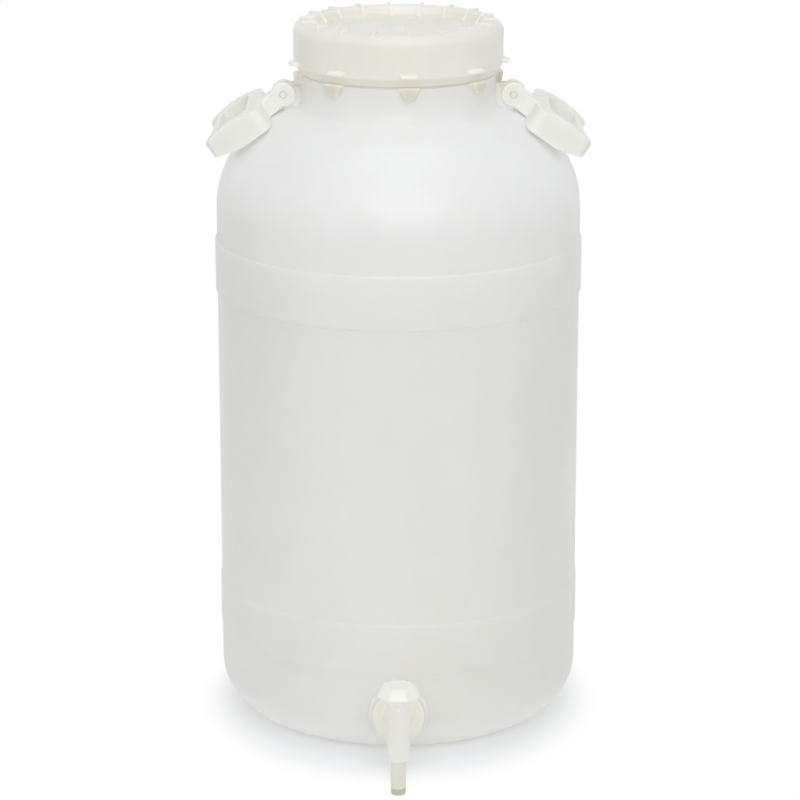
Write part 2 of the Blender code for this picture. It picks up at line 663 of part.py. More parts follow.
def build_handle(shop, side, shoulder):
    """Make one handle: a windowed plate on a forked yoke, hinged beside the neck."""
    name = "right_handle" if side > 0 else "left_handle"
    turn = 0.0 if side > 0 else math.pi
    hinge = shop.empty(f"{name}_hinge", (side * HINGE_REACH, 0.0, HINGE_HEIGHT),
                       (0.0, HANDLE_DROOP, turn))
    fork = HORN_THICKNESS / 2 + TOUCH_GAP
    eye = fork + EYE_THICKNESS
    half = PLATE_HALF_WIDTH + OVERRUN
    handle = shop.slab(name, side_outline(), -half, half, hinge)
    handle.data.transform(Matrix.Rotation(math.pi / 2, 4, "X"))
    tall = PLATE_CREST + OVERRUN
    shop.combine(handle, shop.slab(f"{name}_plan", plate_outline(), -tall, tall, hinge,
                                   hole=window_outline()), "INTERSECT")
    neck = eye - YOKE_INSET
    root = (PLATE_START + WINDOW_START) / 2
    flare = eye + YOKE_FLARE
    yoke_outline = [(0.0, -neck), (EYE_RADIUS, -neck), (root, -flare), (root, flare),
                    (EYE_RADIUS, neck), (0.0, neck)]
    shop.join(handle, shop.slab(f"{name}_yoke", yoke_outline, -YOKE_DEPTH, YOKE_TOP, hinge))
    shop.join(handle, shop.rod(f"{name}_eyes", (0, -eye, 0), (0, eye, 0), EYE_RADIUS, parent=hinge))
    slot = EYE_RADIUS + HORN_SLOT_DEPTH
    shop.cut(handle, shop.block(f"{name}_slot", (-slot, -fork, -slot), (slot, fork, slot), hinge))
    shop.cut(handle, shop.rod(f"{name}_pin_hole", (0, -eye - OVERRUN, 0), (0, eye + OVERRUN, 0),
                              PIN_RADIUS + TOUCH_GAP, parent=hinge))
    shop.cut(handle, shoulder)
    pin = shop.rod(f"{name}_pin", (0, -eye, 0), (0, eye, 0), PIN_RADIUS, parent=hinge)
    finish(pin, HANDLE_PLASTIC)
    return finish(handle, HANDLE_PLASTIC)


def build_handles(shop):
    """Make both handles. Their undersides are trimmed to the shoulder they rest on."""
    shoulder = shop.turned("shoulder_clearance", drum_profile(-TOUCH_GAP))
    shop.as_cutter(shoulder)
    for side in (-1, 1):
        build_handle(shop, side, shoulder)


# The tap

def along_stem(depth):
    """Return the point on the stem's axis at a depth in front of the drum's axis."""
    return (0.0, -depth, TAP_HEIGHT)


def plug_radius(height):
    """Return the tapered plug's radius at a height."""
    share = (height - HOUSING_BOTTOM) / (HOUSING_TOP - HOUSING_BOTTOM)
    return PLUG_BOTTOM_RADIUS + (PLUG_TOP_RADIUS - PLUG_BOTTOM_RADIUS) * share


def upright(offset):
    """Return the point on the plug's axis at a height."""
    return HOUSING_AXIS + Vector((0.0, 0.0, offset))


def build_tap_body(shop):
    """Make the tap's body: threaded stem, flange, barrel and tapered upright housing."""
    flange_back = PAD_FACE + WASHER_THICKNESS + 2 * TOUCH_GAP
    flange_front = flange_back + FLANGE_THICKNESS
    body = shop.rod("tap_body", along_stem(flange_back), along_stem(flange_front), FLANGE_RADIUS,
                    FLANGE_RADIUS - FLANGE_THICKNESS / 2)
    inside_end = PAD_FACE - STEM_INSIDE
    shop.join(body, shop.rod("tap_stem", along_stem(flange_back + OVERRUN / 2),
                             along_stem(inside_end), STEM_RADIUS))
    shop.join(body, shop.rod("tap_barrel", along_stem(flange_back + OVERRUN / 2),
                             along_stem(TAP_FRONT), BARREL_RADIUS))
    shop.join(body, shop.rod("tap_housing", upright(HOUSING_BOTTOM), upright(HOUSING_TOP),
                             HOUSING_BOTTOM_RADIUS, HOUSING_TOP_RADIUS))
    shop.cut(body, shop.rod("plug_bore", upright(HOUSING_BOTTOM - OVERRUN), upright(HOUSING_TOP + OVERRUN),
                            plug_radius(HOUSING_BOTTOM - OVERRUN) + TOUCH_GAP,
                            plug_radius(HOUSING_TOP + OVERRUN) + TOUCH_GAP))
    shop.cut(body, shop.rod("stem_bore", along_stem(inside_end - OVERRUN), along_stem(TAP_FRONT),
                            STEM_BORE))
    return finish(body, TAP_PLASTIC)


def build_tap_plug(shop):
    """Make the hollow plug, its nozzle below and the square tang for the knob above."""
    axis = shop.empty("tap_plug_axis", (0.0, -TAP_FRONT, 0.0))
    top = HOUSING_TOP + TOUCH_GAP
    outline = [(0.0, top), (plug_radius(top), top), (PLUG_BOTTOM_RADIUS, HOUSING_BOTTOM),
               (NOZZLE_RADIUS, HOUSING_BOTTOM - TOUCH_GAP), (NOZZLE_RADIUS, NOZZLE_BOTTOM),
               (NOZZLE_BORE, NOZZLE_BOTTOM), (NOZZLE_BORE, TAP_HEIGHT + PORT_RADIUS),
               (0.0, TAP_HEIGHT + PORT_RADIUS + NOZZLE_BORE / 2)]
    plug = shop.turned("tap_plug", outline, steps=SMALL_STEPS, parent=axis)
    half = TANG_WIDTH / 2
    shop.join(plug, shop.block("plug_tang", (-half, -half, top - OVERRUN),
                               (half, half, top + TANG_HEIGHT), axis))
    shop.cut(plug, shop.rod("plug_port", (0, 0, TAP_HEIGHT), (PLUG_TOP_RADIUS + OVERRUN, 0, TAP_HEIGHT),
                            PORT_RADIUS, steps=16, parent=axis))
    finish(plug, TAP_PLASTIC)
    low = top + TOUCH_GAP
    corner = KNOB_ACROSS / 2 / math.cos(math.pi / KNOB_SIDES)
    corners = arc((0.0, 0.0), corner, math.pi / KNOB_SIDES, math.pi / KNOB_SIDES + math.tau, KNOB_SIDES)
    knob = shop.slab("tap_knob", corners[:-1], low, low + KNOB_HEIGHT, axis, KNOB_EDGE)
    socket = half + TOUCH_GAP
    shop.cut(knob, shop.block("knob_socket", (-socket, -socket, low - OVERRUN),
                              (socket, socket, top + TANG_HEIGHT + TOUCH_GAP), axis))
    finish(knob, KNOB_PLASTIC)


def washer(shop, name, back, outer):
    """Make a flat washer on the stem, its back face at a depth."""
    ring = flat_ring(shop, name, STEM_RADIUS + TOUCH_GAP, outer, 0.0, WASHER_THICKNESS, SMALL_STEPS)
    ring.rotation_euler = (math.pi / 2, 0.0, 0.0)
    ring.location = along_stem(back)
    return finish(ring, SEAL_RUBBER)


def build_tap_fixings(shop):
    """Make the two washers and the nut that clamp the tap to the drum's wall."""
    washer(shop, "tap_outer_washer", PAD_FACE + TOUCH_GAP, FLANGE_RADIUS - FLANGE_THICKNESS / 2)
    inner_face = PAD_FACE - BODY_WALL - TOUCH_GAP
    washer(shop, "tap_inner_washer", inner_face - WASHER_THICKNESS, WASHER_RADIUS)
    nut_front = inner_face - WASHER_THICKNESS - TOUCH_GAP
    corner = NUT_ACROSS_FLATS / 2 / math.cos(math.pi / NUT_SIDES)
    nut = shop.rod("tap_nut", along_stem(nut_front), along_stem(nut_front - NUT_THICKNESS), corner,
                   steps=NUT_SIDES)
    shop.cut(nut, shop.rod("nut_bore", along_stem(nut_front + OVERRUN),
                           along_stem(nut_front - NUT_THICKNESS - OVERRUN), STEM_RADIUS + TOUCH_GAP))
    return finish(nut, TAP_PLASTIC)


def main():
    """Build the whole drum."""
    clear_scene()
    shop = Workshop()
    build_drum_body(shop)
    build_screw_lid(shop)
    build_inner_lid(shop)
    build_lid_gasket(shop)
    build_handles(shop)
    build_tap_body(shop)
    build_tap_plug(shop)
    build_tap_fixings(shop)
    bpy.context.view_layer.update()


main()
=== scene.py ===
"""Looks of the wide-mouth plastic drum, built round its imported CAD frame.

The tap is at the front (-Y) and the handles fold out to -X and +X. Metres, +Z up.
"""
import logging
import math
from collections.abc import Callable
from dataclasses import dataclass, field
from enum import Enum

import bmesh
import bpy
from mathutils import Matrix, Vector


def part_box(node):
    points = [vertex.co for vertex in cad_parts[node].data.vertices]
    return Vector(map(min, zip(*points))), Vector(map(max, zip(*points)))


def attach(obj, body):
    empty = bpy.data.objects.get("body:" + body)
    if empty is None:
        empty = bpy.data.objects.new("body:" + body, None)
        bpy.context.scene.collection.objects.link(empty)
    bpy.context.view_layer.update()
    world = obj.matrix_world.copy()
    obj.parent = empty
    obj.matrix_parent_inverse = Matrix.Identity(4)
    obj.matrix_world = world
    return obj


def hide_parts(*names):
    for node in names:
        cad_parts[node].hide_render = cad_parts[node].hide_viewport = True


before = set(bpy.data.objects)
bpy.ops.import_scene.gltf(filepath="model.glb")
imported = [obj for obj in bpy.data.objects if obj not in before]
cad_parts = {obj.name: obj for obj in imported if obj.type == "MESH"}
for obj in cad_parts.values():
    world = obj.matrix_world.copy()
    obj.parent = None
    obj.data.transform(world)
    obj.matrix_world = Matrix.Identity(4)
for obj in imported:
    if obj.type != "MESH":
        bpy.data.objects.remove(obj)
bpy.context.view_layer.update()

LOG = logging.getLogger("drum")

Point = tuple[float, float]
Corner = tuple[float, float, float]
Colour = tuple[float, float, float]

# WELD joins doubled points, GAP is the play between pieces, and OVERRUN is how far a cut's tool
# reaches past its wall.
WELD = 1e-6
GAP = 0.0003
OVERRUN = 0.003
UP = Vector((0.0, 0.0, 1.0))
FRONT = Vector((0.0, -1.0, 0.0))
RIGHT = Vector((1.0, 0.0, 0.0))
SEAL_LOW, SEAL_HIGH = (Vector(corner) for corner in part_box("lid_gasket"))
AXIS = Vector((0.0, ((SEAL_LOW + SEAL_HIGH) / 2).y, 0.0))


class Side(Enum):
    """The two sides that a handle can be on, with the sign of X there."""

    LEFT = -1
    RIGHT = 1


@dataclass(frozen=True)
class Line:
    """A line that pieces are turned about.

    Attributes:
        origin: a point on the line, where distance is nought.
        along: the direction in which distance grows.
        out: the direction in which a profile is drawn.
    """

    origin: Vector
    along: Vector
    out: Vector

    def at(self, radius: float, distance: float) -> Vector:
        """Return the point at a radius and a distance along the line."""
        return self.origin + self.out * radius + self.along * distance


DRUM_LINE = Line(AXIS, UP, RIGHT)


def arc(centre: Point, radius: float, start: float, end: float, steps: int) -> list[Point]:
    """Return points on an arc.

    Args:
        centre: the arc's centre.
        radius: its radius.
        start: the angle of the first point, in degrees.
        end: the angle of the last point, in degrees.
        steps: how many chords it has.

    Returns:
        The points, both ends included.
    """
    turn = math.radians(end - start) / steps
    first = math.radians(start)
    angles = [first + turn * step for step in range(steps + 1)]
    return [(centre[0] + radius * math.cos(a), centre[1] + radius * math.sin(a)) for a in angles]


def soften(corners: list[Corner], steps: int = 4, closed: bool = False) -> list[Point]:
    """Round the corners of a chain of points.

    Args:
        corners: (x, y, radius) for each corner. A radius of nought keeps it sharp.
        steps: how many chords each rounded corner has.
        closed: whether the last point joins the first.

    Returns:
        The points of the rounded chain.
    """
    points: list[Point] = []
    count = len(corners)
    for index, (x, y, radius) in enumerate(corners):
        here = Vector((x, y))
        ends = not closed and index in (0, count - 1)
        if ends or radius <= 0.0:
            points.append((x, y))
            continue
        back = (Vector(corners[index - 1][:2]) - here).normalized()
        ahead = (Vector(corners[(index + 1) % count][:2]) - here).normalized()
        half = back.angle(ahead) / 2
        middle = here + (back + ahead).normalized() * radius / math.sin(half)
        first = here + back * radius / math.tan(half) - middle
        last = here + ahead * radius / math.tan(half) - middle
        sweep = first.angle_signed(last)
        for step in range(steps + 1):
            arm = Matrix.Rotation(-sweep * step / steps, 2) @ first
            points.append(tuple(middle + arm))
    return points


def thread_section(root: float, crest: float, start: float, wide: float, narrow: float) -> list[Point]:
    """Return a thread's section.

    Args:
        root: the radius inside the wall that the thread stands on.
        crest: the radius of its crest.
        start: the height of its middle.
        wide: half its height at the root.
        narrow: half its height at the crest.

    Returns:
        The (radius, height) corners.
    """
    return [(root, start - wide), (crest, start - narrow), (crest, start + narrow),
            (root, start + wide)]


class Bench:
    """The moves of modelling by hand: each leaves object mode with its piece picked."""

    def clear(self) -> None:
        """Leave edit mode and drop the selection."""
        if bpy.context.mode != "OBJECT":
            bpy.ops.object.mode_set(mode="OBJECT")
        bpy.ops.object.select_all(action="DESELECT")

    def pick(self, *pieces: bpy.types.Object) -> None:
        """Select pieces, the first of them active."""
        self.clear()
        for piece in pieces:
            piece.select_set(True)
        bpy.context.view_layer.objects.active = pieces[0]

    def edit(self, piece: bpy.types.Object) -> None:
        """Open a piece in edit mode with all of it selected."""
        self.pick(piece)
        bpy.ops.object.mode_set(mode="EDIT")
        bpy.ops.mesh.select_all(action="SELECT")

    def choose(self, piece: bpy.types.Object, test: Callable[[Vector], bool]) -> None:
        """Select, in edit mode, the vertices whose place passes a test.

        Args:
            piece: the piece that is open in edit mode.
            test: gets a vertex's place and says whether to take it.
        """
        shape = bmesh.from_edit_mesh(piece.data)
        for vert in shape.verts:
            vert.select = test(vert.co)
        shape.select_flush_mode()
        bmesh.update_edit_mesh(piece.data)

    def named(self, name: str) -> bpy.types.Object:
        """Give the piece just added its name."""
        piece = bpy.context.object
        piece.name = name
        piece.data.name = name
        return piece

    def chain(self, name: str, points: list[Vector]) -> bpy.types.Object:
        """Draw a chain of edges by extruding one vertex from point to point.

        Args:
            name: the piece's name.
            points: the places that the chain goes through.

        Returns:
            The piece, still in edit mode with all of it selected.
        """
        self.clear()
        bpy.ops.mesh.primitive_plane_add(size=GAP)
        piece = self.named(name)
        bpy.ops.object.mode_set(mode="EDIT")
        bpy.ops.mesh.select_all(action="SELECT")
        bpy.ops.mesh.merge(type="CENTER")
        bpy.ops.transform.translate(value=points[0])
        for here, there in zip(points, points[1:]):
            bpy.ops.mesh.extrude_vertices_move(TRANSFORM_OT_translate={"value": there - here})
        bpy.ops.mesh.select_all(action="SELECT")
        return piece

    def close_up(self) -> None:
        """Weld what meets, face it outwards and leave edit mode."""
        bpy.ops.mesh.select_all(action="SELECT")
        bpy.ops.mesh.remove_doubles(threshold=WELD)
        bpy.ops.mesh.normals_make_consistent(inside=False)
        self.clear()

    def turn(self, name: str, profile: list[Point], line: Line, sides: int = 96,
             ring: bool = False) -> bpy.types.Object:
        """Spin a profile about a line.

        Args:
            name: the piece's name.
            profile: (radius, distance) points.
            line: the line to spin about.
            sides: how many steps the turn has.
            ring: whether the last point joins the first.

        Returns:
            The closed shape.
        """
        points = [line.at(radius, distance) for radius, distance in profile]
        piece = self.chain(name, points + points[:1] if ring else points)
        bpy.ops.mesh.spin(steps=sides, angle=math.tau, center=line.origin, axis=line.along,
                          use_auto_merge=True)
        self.close_up()
        return piece

    def rod(self, name: str, radius: float, start: float, end: float, line: Line,
            sides: int = 64) -> bpy.types.Object:
        """Turn a plain rod about a line, between two distances along it."""
        return self.turn(name, [(0.0, start), (radius, start), (radius, end), (0.0, end)], line, sides)

    def ring(self, name: str, radii: Point, faces: Point, edges: Point, line: Line,
             sides: int = 64) -> bpy.types.Object:
        """Turn a flat ring.

        Args:
            name: the piece's name.
            radii: its inner and outer radius.
            faces: the distances of its two faces along the line.
            edges: how far its inner and outer edges are rounded.
            line: the line to spin about.
            sides: how many steps the turn has.

        Returns:
            The finished piece.
        """
        (inner, outer), (near, far), (sharp, soft) = radii, faces, edges
        corners = [(inner, near, sharp), (outer, near, soft), (outer, far, soft), (inner, far, sharp)]
        return self.settle(self.turn(name, soften(corners, 3, closed=True), line, sides, ring=True))

    def prism(self, name: str, outline: list[Vector], sweep: Vector) -> bpy.types.Object:
        """Fill an outline and extrude it.

        Args:
            name: the piece's name.
            outline: the corners of a flat outline.
            sweep: how far and which way it is extruded.

        Returns:
            The closed shape.
        """
        piece = self.chain(name, outline)
        bpy.ops.mesh.edge_face_add()
        bpy.ops.mesh.extrude_region_move(TRANSFORM_OT_translate={"value": sweep})
        self.close_up()
        return piece

    def block(self, name: str, low: Vector, high: Vector) -> bpy.types.Object:
        """Add a cube and stretch it between two corners."""
        self.clear()
        bpy.ops.mesh.primitive_cube_add(size=1.0)
        piece = self.named(name)
        bpy.ops.object.mode_set(mode="EDIT")
        bpy.ops.mesh.select_all(action="SELECT")
        bpy.ops.transform.resize(value=high - low, center_override=(0.0, 0.0, 0.0))
        bpy.ops.transform.translate(value=(low + high) / 2)
        self.clear()
        return piece

    def narrow(self, piece: bpy.types.Object, test: Callable[[Vector], bool], share: Vector,
               centre: Vector) -> None:
        """Scale a part of a piece.

        Args:
            piece: the piece.
            test: says which vertices to scale.
            share: the scale along X, Y and Z.
            centre: the point that stays put.
        """
        self.edit(piece)
        self.choose(piece, test)
        bpy.ops.transform.resize(value=share, center_override=centre)
        self.clear()

    def round_edges(self, piece: bpy.types.Object, width: float, segments: int = 3,
                    angle: float = 40.0) -> None:
        """Round a piece's sharp edges.

        Args:
            piece: the piece.
            width: how wide the rounding is.
            segments: how many faces it has across.
            angle: the least angle of an edge that is rounded, in degrees.
        """
        bevel = piece.modifiers.new("edges", "BEVEL")
        bevel.width = width
        bevel.segments = segments
        bevel.limit_method = "ANGLE"
        bevel.angle_limit = math.radians(angle)
        bevel.use_clamp_overlap = True
        self.pick(piece)
        bpy.ops.object.modifier_apply(modifier=bevel.name)

    def combine(self, target: bpy.types.Object, tools: list[bpy.types.Object],
                operation: str) -> None:
        """Join, cut or intersect a piece with tools that don't touch each other.

        Args:
            target: the piece that is changed.
            tools: the shapes that change it. They are used up.
            operation: UNION, DIFFERENCE or INTERSECT.
        """
        self.pick(*tools)
        if len(tools) > 1:
            bpy.ops.object.join()
        tool = tools[0]
        step = target.modifiers.new("combine", "BOOLEAN")
        step.operation = operation
        step.solver = "EXACT"
        step.object = tool
        self.pick(target)
        bpy.ops.object.modifier_apply(modifier=step.name)
        bpy.data.objects.remove(tool)

    def join(self, target: bpy.types.Object, *tools: bpy.types.Object) -> None:
        """Fuse tools into a piece."""
        self.combine(target, list(tools), "UNION")

    def cut(self, target: bpy.types.Object, *tools: bpy.types.Object) -> None:
        """Take tools out of a piece."""
        self.combine(target, list(tools), "DIFFERENCE")

    def repeat(self, seed: bpy.types.Object, count: int, first: float,
               line: Line = DRUM_LINE) -> list[bpy.types.Object]:
        """Copy a shape evenly round a line, each copy with its own mesh.

        Args:
            seed: the shape that is copied. It is used up.
            count: how many copies there are.
            first: how far the first one is turned from the seed, in degrees.
            line: the line that they stand round.

        Returns:
            The copies.
        """
        copies = []
        there = Matrix.Translation(line.origin)
        for step in range(count):
            copy = seed.copy()
            copy.data = seed.data.copy()
            turn = Matrix.Rotation(math.radians(first) + math.tau * step / count, 4, line.along)
            copy.data.transform(there @ turn @ there.inverted())
            bpy.context.scene.collection.objects.link(copy)
            copies.append(copy)
        bpy.data.objects.remove(seed)
        return copies

    def thread(self, name: str, line: Line, section: list[Point], pitch: float,
               turns: float, sides: int = 72) -> bpy.types.Object:
        """Sweep a thread's section along a helix, its ends sunk into the wall.

        Args:
            name: the piece's name.
            line: the thread's line.
            section: (radius, distance) corners of the section at its start.
            pitch: how far one turn climbs.
            turns: how many turns there are.
            sides: how many steps one turn has.

        Returns:
            The closed ridge.
        """
        flat = Line(Vector((0.0, 0.0, 0.0)), UP, RIGHT)
        points = [flat.at(radius, distance) for radius, distance in section]
        piece = self.chain(name, points)
        bpy.ops.mesh.edge_face_add()
        bpy.ops.mesh.delete(type="ONLY_FACE")
        self.clear()
        screw = piece.modifiers.new("helix", "SCREW")
        screw.angle = math.tau * turns
        screw.screw_offset = pitch * turns
        screw.steps = int(sides * turns)
        screw.render_steps = screw.steps
        self.pick(piece)
        bpy.ops.object.modifier_apply(modifier=screw.name)
        self.edit(piece)
        bpy.ops.mesh.select_all(action="DESELECT")
        bpy.ops.mesh.select_non_manifold()
        bpy.ops.mesh.edge_face_add()
        bpy.ops.mesh.select_all(action="DESELECT")
        bpy.ops.mesh.select_non_manifold()
        bpy.ops.mesh.fill_holes(sides=len(section))
        self.close_up()
        tilt = line.along.to_track_quat("Z", "X").to_matrix().to_4x4()
        piece.data.transform(Matrix.Translation(line.origin) @ tilt)
        return piece

    def melt(self, piece: bpy.types.Object, grain: float, rounds: int) -> None:
        """Run a piece's faces into each other, as a moulding's corners do.

        Args:
            piece: the piece.
            grain: the size of the new faces.
            rounds: how often the faces are smoothed.
        """
        remesh = piece.modifiers.new("even", "REMESH")
        remesh.mode = "VOXEL"
        remesh.voxel_size = grain
        smooth = piece.modifiers.new("soft", "SMOOTH")
        smooth.factor = 0.5
        smooth.iterations = rounds
        self.pick(piece)
        bpy.ops.object.modifier_apply(modifier=remesh.name)
        bpy.ops.object.modifier_apply(modifier=smooth.name)

    def settle(self, piece: bpy.types.Object, angle: float = 35.0) -> bpy.types.Object:
        """Weld a finished piece and shade it smooth but for its corners.

        Args:
            piece: the piece.
            angle: the least angle of an edge that stays sharp, in degrees.

        Returns:
            The piece.
        """
        self.edit(piece)
        bpy.ops.mesh.remove_doubles(threshold=WELD)
        self.pick(piece)
        bpy.ops.object.transform_apply(location=True, rotation=True, scale=True)
        bpy.ops.object.shade_smooth_by_angle(angle=math.radians(angle))
        return piece


BENCH = Bench()


class Nodes:
    """A short way to lay out shader nodes in a tree."""

    def __init__(self, tree: bpy.types.NodeTree) -> None:
        """Keep the tree."""
        self.tree = tree

    def add(self, kind: str, settings: dict | None = None, **links: object) -> bpy.types.Node:
        """Add a node, set it up and feed it.

        Args:
            kind: the node's type, without ShaderNode.
            settings: attributes of the node.
            links: for each input, by its name with _ for a space, a socket or a value.

        Returns:
            The node.
        """
        node = self.tree.nodes.new(f"ShaderNode{kind}")
        for key, value in (settings or {}).items():
            setattr(node, key, value)
        for key, value in links.items():
            socket = self.socket(node, key)
            if isinstance(value, bpy.types.NodeSocket):
                self.tree.links.new(value, socket)
            else:
                socket.default_value = value
        return node

    def socket(self, node: bpy.types.Node, key: str) -> bpy.types.NodeSocket:
        """Return an input by its number, as in n0, or by its name, the one in use first."""
        if key[0] == "n" and key[1:].isdigit():
            return node.inputs[int(key[1:])]
        name = key.replace("_", " ")
        found = [entry for entry in node.inputs if entry.name.lower() == name.lower()]
        live = [entry for entry in found if entry.enabled]
        return (live or found)[0]

    def sum(self, operation: str, first: object, second: object = 0.0,
            clamp: bool = False) -> bpy.types.NodeSocket:
        """Return the output of a Math node."""
        node = self.add("Math", {"operation": operation, "use_clamp": clamp}, n0=first, n1=second)
        return node.outputs[0]

    def spread(self, value: object, low: object, high: object, to_low: float = 0.0,
               to_high: float = 1.0) -> bpy.types.NodeSocket:
        """Return a value mapped from one range to another, clamped and smooth."""
        node = self.add("MapRange", {"interpolation_type": "SMOOTHSTEP"}, n0=value, n1=low, n2=high,
                        n3=to_low, n4=to_high)
        return node.outputs[0]

    def blend(self, share: object, first: object, second: object,
              how: str = "MIX") -> bpy.types.NodeSocket:
        """Return two colours mixed by a share."""
        node = self.add("Mix", {"data_type": "RGBA", "blend_type": how}, n0=share, n6=first, n7=second)
        return node.outputs[2]


class EffectGroup:
    """A shader node group with named inputs and outputs."""

    def __init__(self, name: str, inputs: dict[str, object], outputs: dict[str, str]) -> None:
        """Make the group.

        Args:
            name: the group's name.
            inputs: each input's default, a number or a three-part place.
            outputs: each output's socket type.
        """
        self.tree = bpy.data.node_groups.new(name, "ShaderNodeTree")
        for label, value in inputs.items():
            kind = "NodeSocketVector" if isinstance(value, tuple) else "NodeSocketFloat"
            socket = self.tree.interface.new_socket(label, in_out="INPUT", socket_type=kind)
            socket.default_value = value
        for label, kind in outputs.items():
            self.tree.interface.new_socket(label, in_out="OUTPUT", socket_type=kind)
        self.nodes = Nodes(self.tree)
        self.entry = self.tree.nodes.new("NodeGroupInput").outputs
        self.exit = self.tree.nodes.new("NodeGroupOutput").inputs

    def put(self, label: str, socket: bpy.types.NodeSocket) -> None:
        """Feed an output of the group."""
        self.tree.links.new(socket, self.exit[label])


FLOAT = "NodeSocketFloat"
HERE = (0.0, 0.0, 0.0)

# How scuffs and specks look on every plastic, and how much its dullness varies with the wall.
SCUFF_TONE = (0.93, 0.93, 0.91)
SCUFF_STRENGTH = 0.35
SCUFF_DEPTH = 2e-5
SCUFF_DULL = 0.22
SPECK_TONE = (0.25, 0.24, 0.19)
SPECK_STRENGTH = 0.55
DULL_LESS = 0.03
DULL_MORE = 0.04


def wall_cloud() -> bpy.types.NodeTree:
    """Make the effect of a wall that is thicker here and thinner there.

    Returns:
        A group with a Mask from 0, thin, to 1, thick.
    """
    group = EffectGroup("wall cloud", {"Place": HERE, "Scale": 8.0, "Contrast": 0.3}, {"Mask": FLOAT})
    nodes, entry = group.nodes, group.entry
    stretch = nodes.add("Mapping", Vector=entry["Place"], Scale=(1.0, 1.0, 0.45))
    broad = nodes.add("TexNoise", Vector=stretch.outputs[0], Scale=entry["Scale"], Detail=2.0)
    finer = nodes.sum("MULTIPLY", entry["Scale"], 5.3)
    small = nodes.add("TexNoise", Vector=entry["Place"], Scale=finer, Detail=3.0)
    mixed = nodes.sum("ADD", nodes.sum("MULTIPLY", broad.outputs[0], 0.75),
                      nodes.sum("MULTIPLY", small.outputs[0], 0.25))
    low = nodes.sum("SUBTRACT", 0.5, nodes.sum("MULTIPLY", entry["Contrast"], 0.5))
    high = nodes.sum("ADD", 0.5, nodes.sum("MULTIPLY", entry["Contrast"], 0.5))
    group.put("Mask", nodes.spread(mixed, low, high))
    return group.tree


def moulded_skin() -> bpy.types.NodeTree:
    """Make the effect of a moulding's skin: a soft ripple under a fine grain.

    Returns:
        A group with a Height, in metres.
    """
    inputs = {"Place": HERE, "Grain Scale": 900.0, "Grain Depth": 1e-5, "Ripple Scale": 30.0,
              "Ripple Depth": 1e-4}
    group = EffectGroup("moulded skin", inputs, {"Height": FLOAT})
    nodes, entry = group.nodes, group.entry
    grain = nodes.add("TexNoise", Vector=entry["Place"], Scale=entry["Grain Scale"], Detail=2.0)
    ripple = nodes.add("TexNoise", Vector=entry["Place"], Scale=entry["Ripple Scale"], Detail=1.0)
    fine = nodes.sum("MULTIPLY", grain.outputs[0], entry["Grain Depth"])
    soft = nodes.sum("MULTIPLY", ripple.outputs[0], entry["Ripple Depth"])
    group.put("Height", nodes.sum("ADD", fine, soft))
    return group.tree


def dark_specks() -> bpy.types.NodeTree:
    """Make the effect of a few dark specks caught in the plastic.

    Returns:
        A group with a Mask, 1 on a speck.
    """
    group = EffectGroup("dark specks", {"Place": HERE, "Scale": 22.0, "Share": 0.1, "Size": 0.02},
                        {"Mask": FLOAT})
    nodes, entry = group.nodes, group.entry
    cells = nodes.add("TexVoronoi", Vector=entry["Place"], Scale=entry["Scale"], Randomness=1.0)
    pick = nodes.add("SeparateColor", Color=cells.outputs["Color"])
    chosen = nodes.sum("LESS_THAN", pick.outputs[0], entry["Share"])
    girth = nodes.sum("MULTIPLY", entry["Size"], nodes.sum("ADD", pick.outputs[1], 0.4))
    near = nodes.sum("LESS_THAN", cells.outputs["Distance"], girth)
    group.put("Mask", nodes.sum("MULTIPLY", chosen, near))
    return group.tree


def rubbed_marks() -> bpy.types.NodeTree:
    """Make the effect of fine scuffs from handling.

    Returns:
        A group with a Mask, 1 in a scuff.
    """
    group = EffectGroup("rubbed marks", {"Place": HERE, "Scale": 14.0, "Share": 0.2}, {"Mask": FLOAT})
    nodes, entry = group.nodes, group.entry
    slant = nodes.add("Mapping", Vector=entry["Place"], Rotation=(0.35, 0.2, 0.6),
                      Scale=(1.0, 1.0, 14.0))
    streaks = nodes.add("TexNoise", Vector=slant.outputs[0], Scale=entry["Scale"], Detail=4.0,
                        Roughness=0.65)
    zones = nodes.add("TexNoise", Vector=entry["Place"], Scale=entry["Scale"], Detail=1.0)
    line = nodes.spread(streaks.outputs[0], 0.62, 0.72)
    zone = nodes.spread(zones.outputs[0], nodes.sum("SUBTRACT", 0.72, entry["Share"]), 0.8)
    group.put("Mask", nodes.sum("MULTIPLY", line, zone))
    return group.tree


def parting_line() -> bpy.types.NodeTree:
    """Make the effect of the thin ridge where two mould halves meet.

    Returns:
        A group with a Height, in metres, along the plane where Across is nought.
    """
    group = EffectGroup("parting line", {"Across": 0.0, "Width": 0.0006, "Rise": 1e-4},
                        {"Height": FLOAT})
    nodes, entry = group.nodes, group.entry
    away = nodes.sum("ABSOLUTE", entry["Across"])
    share = nodes.spread(away, 0.0, entry["Width"], 1.0, 0.0)
    group.put("Height", nodes.sum("MULTIPLY", share, entry["Rise"]))
    return group.tree


def painted_light_ramp() -> bpy.types.NodeTree:
    """Make the height mask of painted light, an emission that stands in for light passing through a
    thin wall at one end of a vessel.

    Returns:
        A group with a Mask, 0 at the height Dark and 1 at the height Lit.
    """
    group = EffectGroup("painted light ramp", {"Place": HERE, "Dark": 0.05, "Lit": 0.0}, {"Mask": FLOAT})
    nodes, entry = group.nodes, group.entry
    height = nodes.add("SeparateXYZ", Vector=entry["Place"]).outputs[2]
    group.put("Mask", nodes.spread(height, entry["Dark"], entry["Lit"]))
    return group.tree


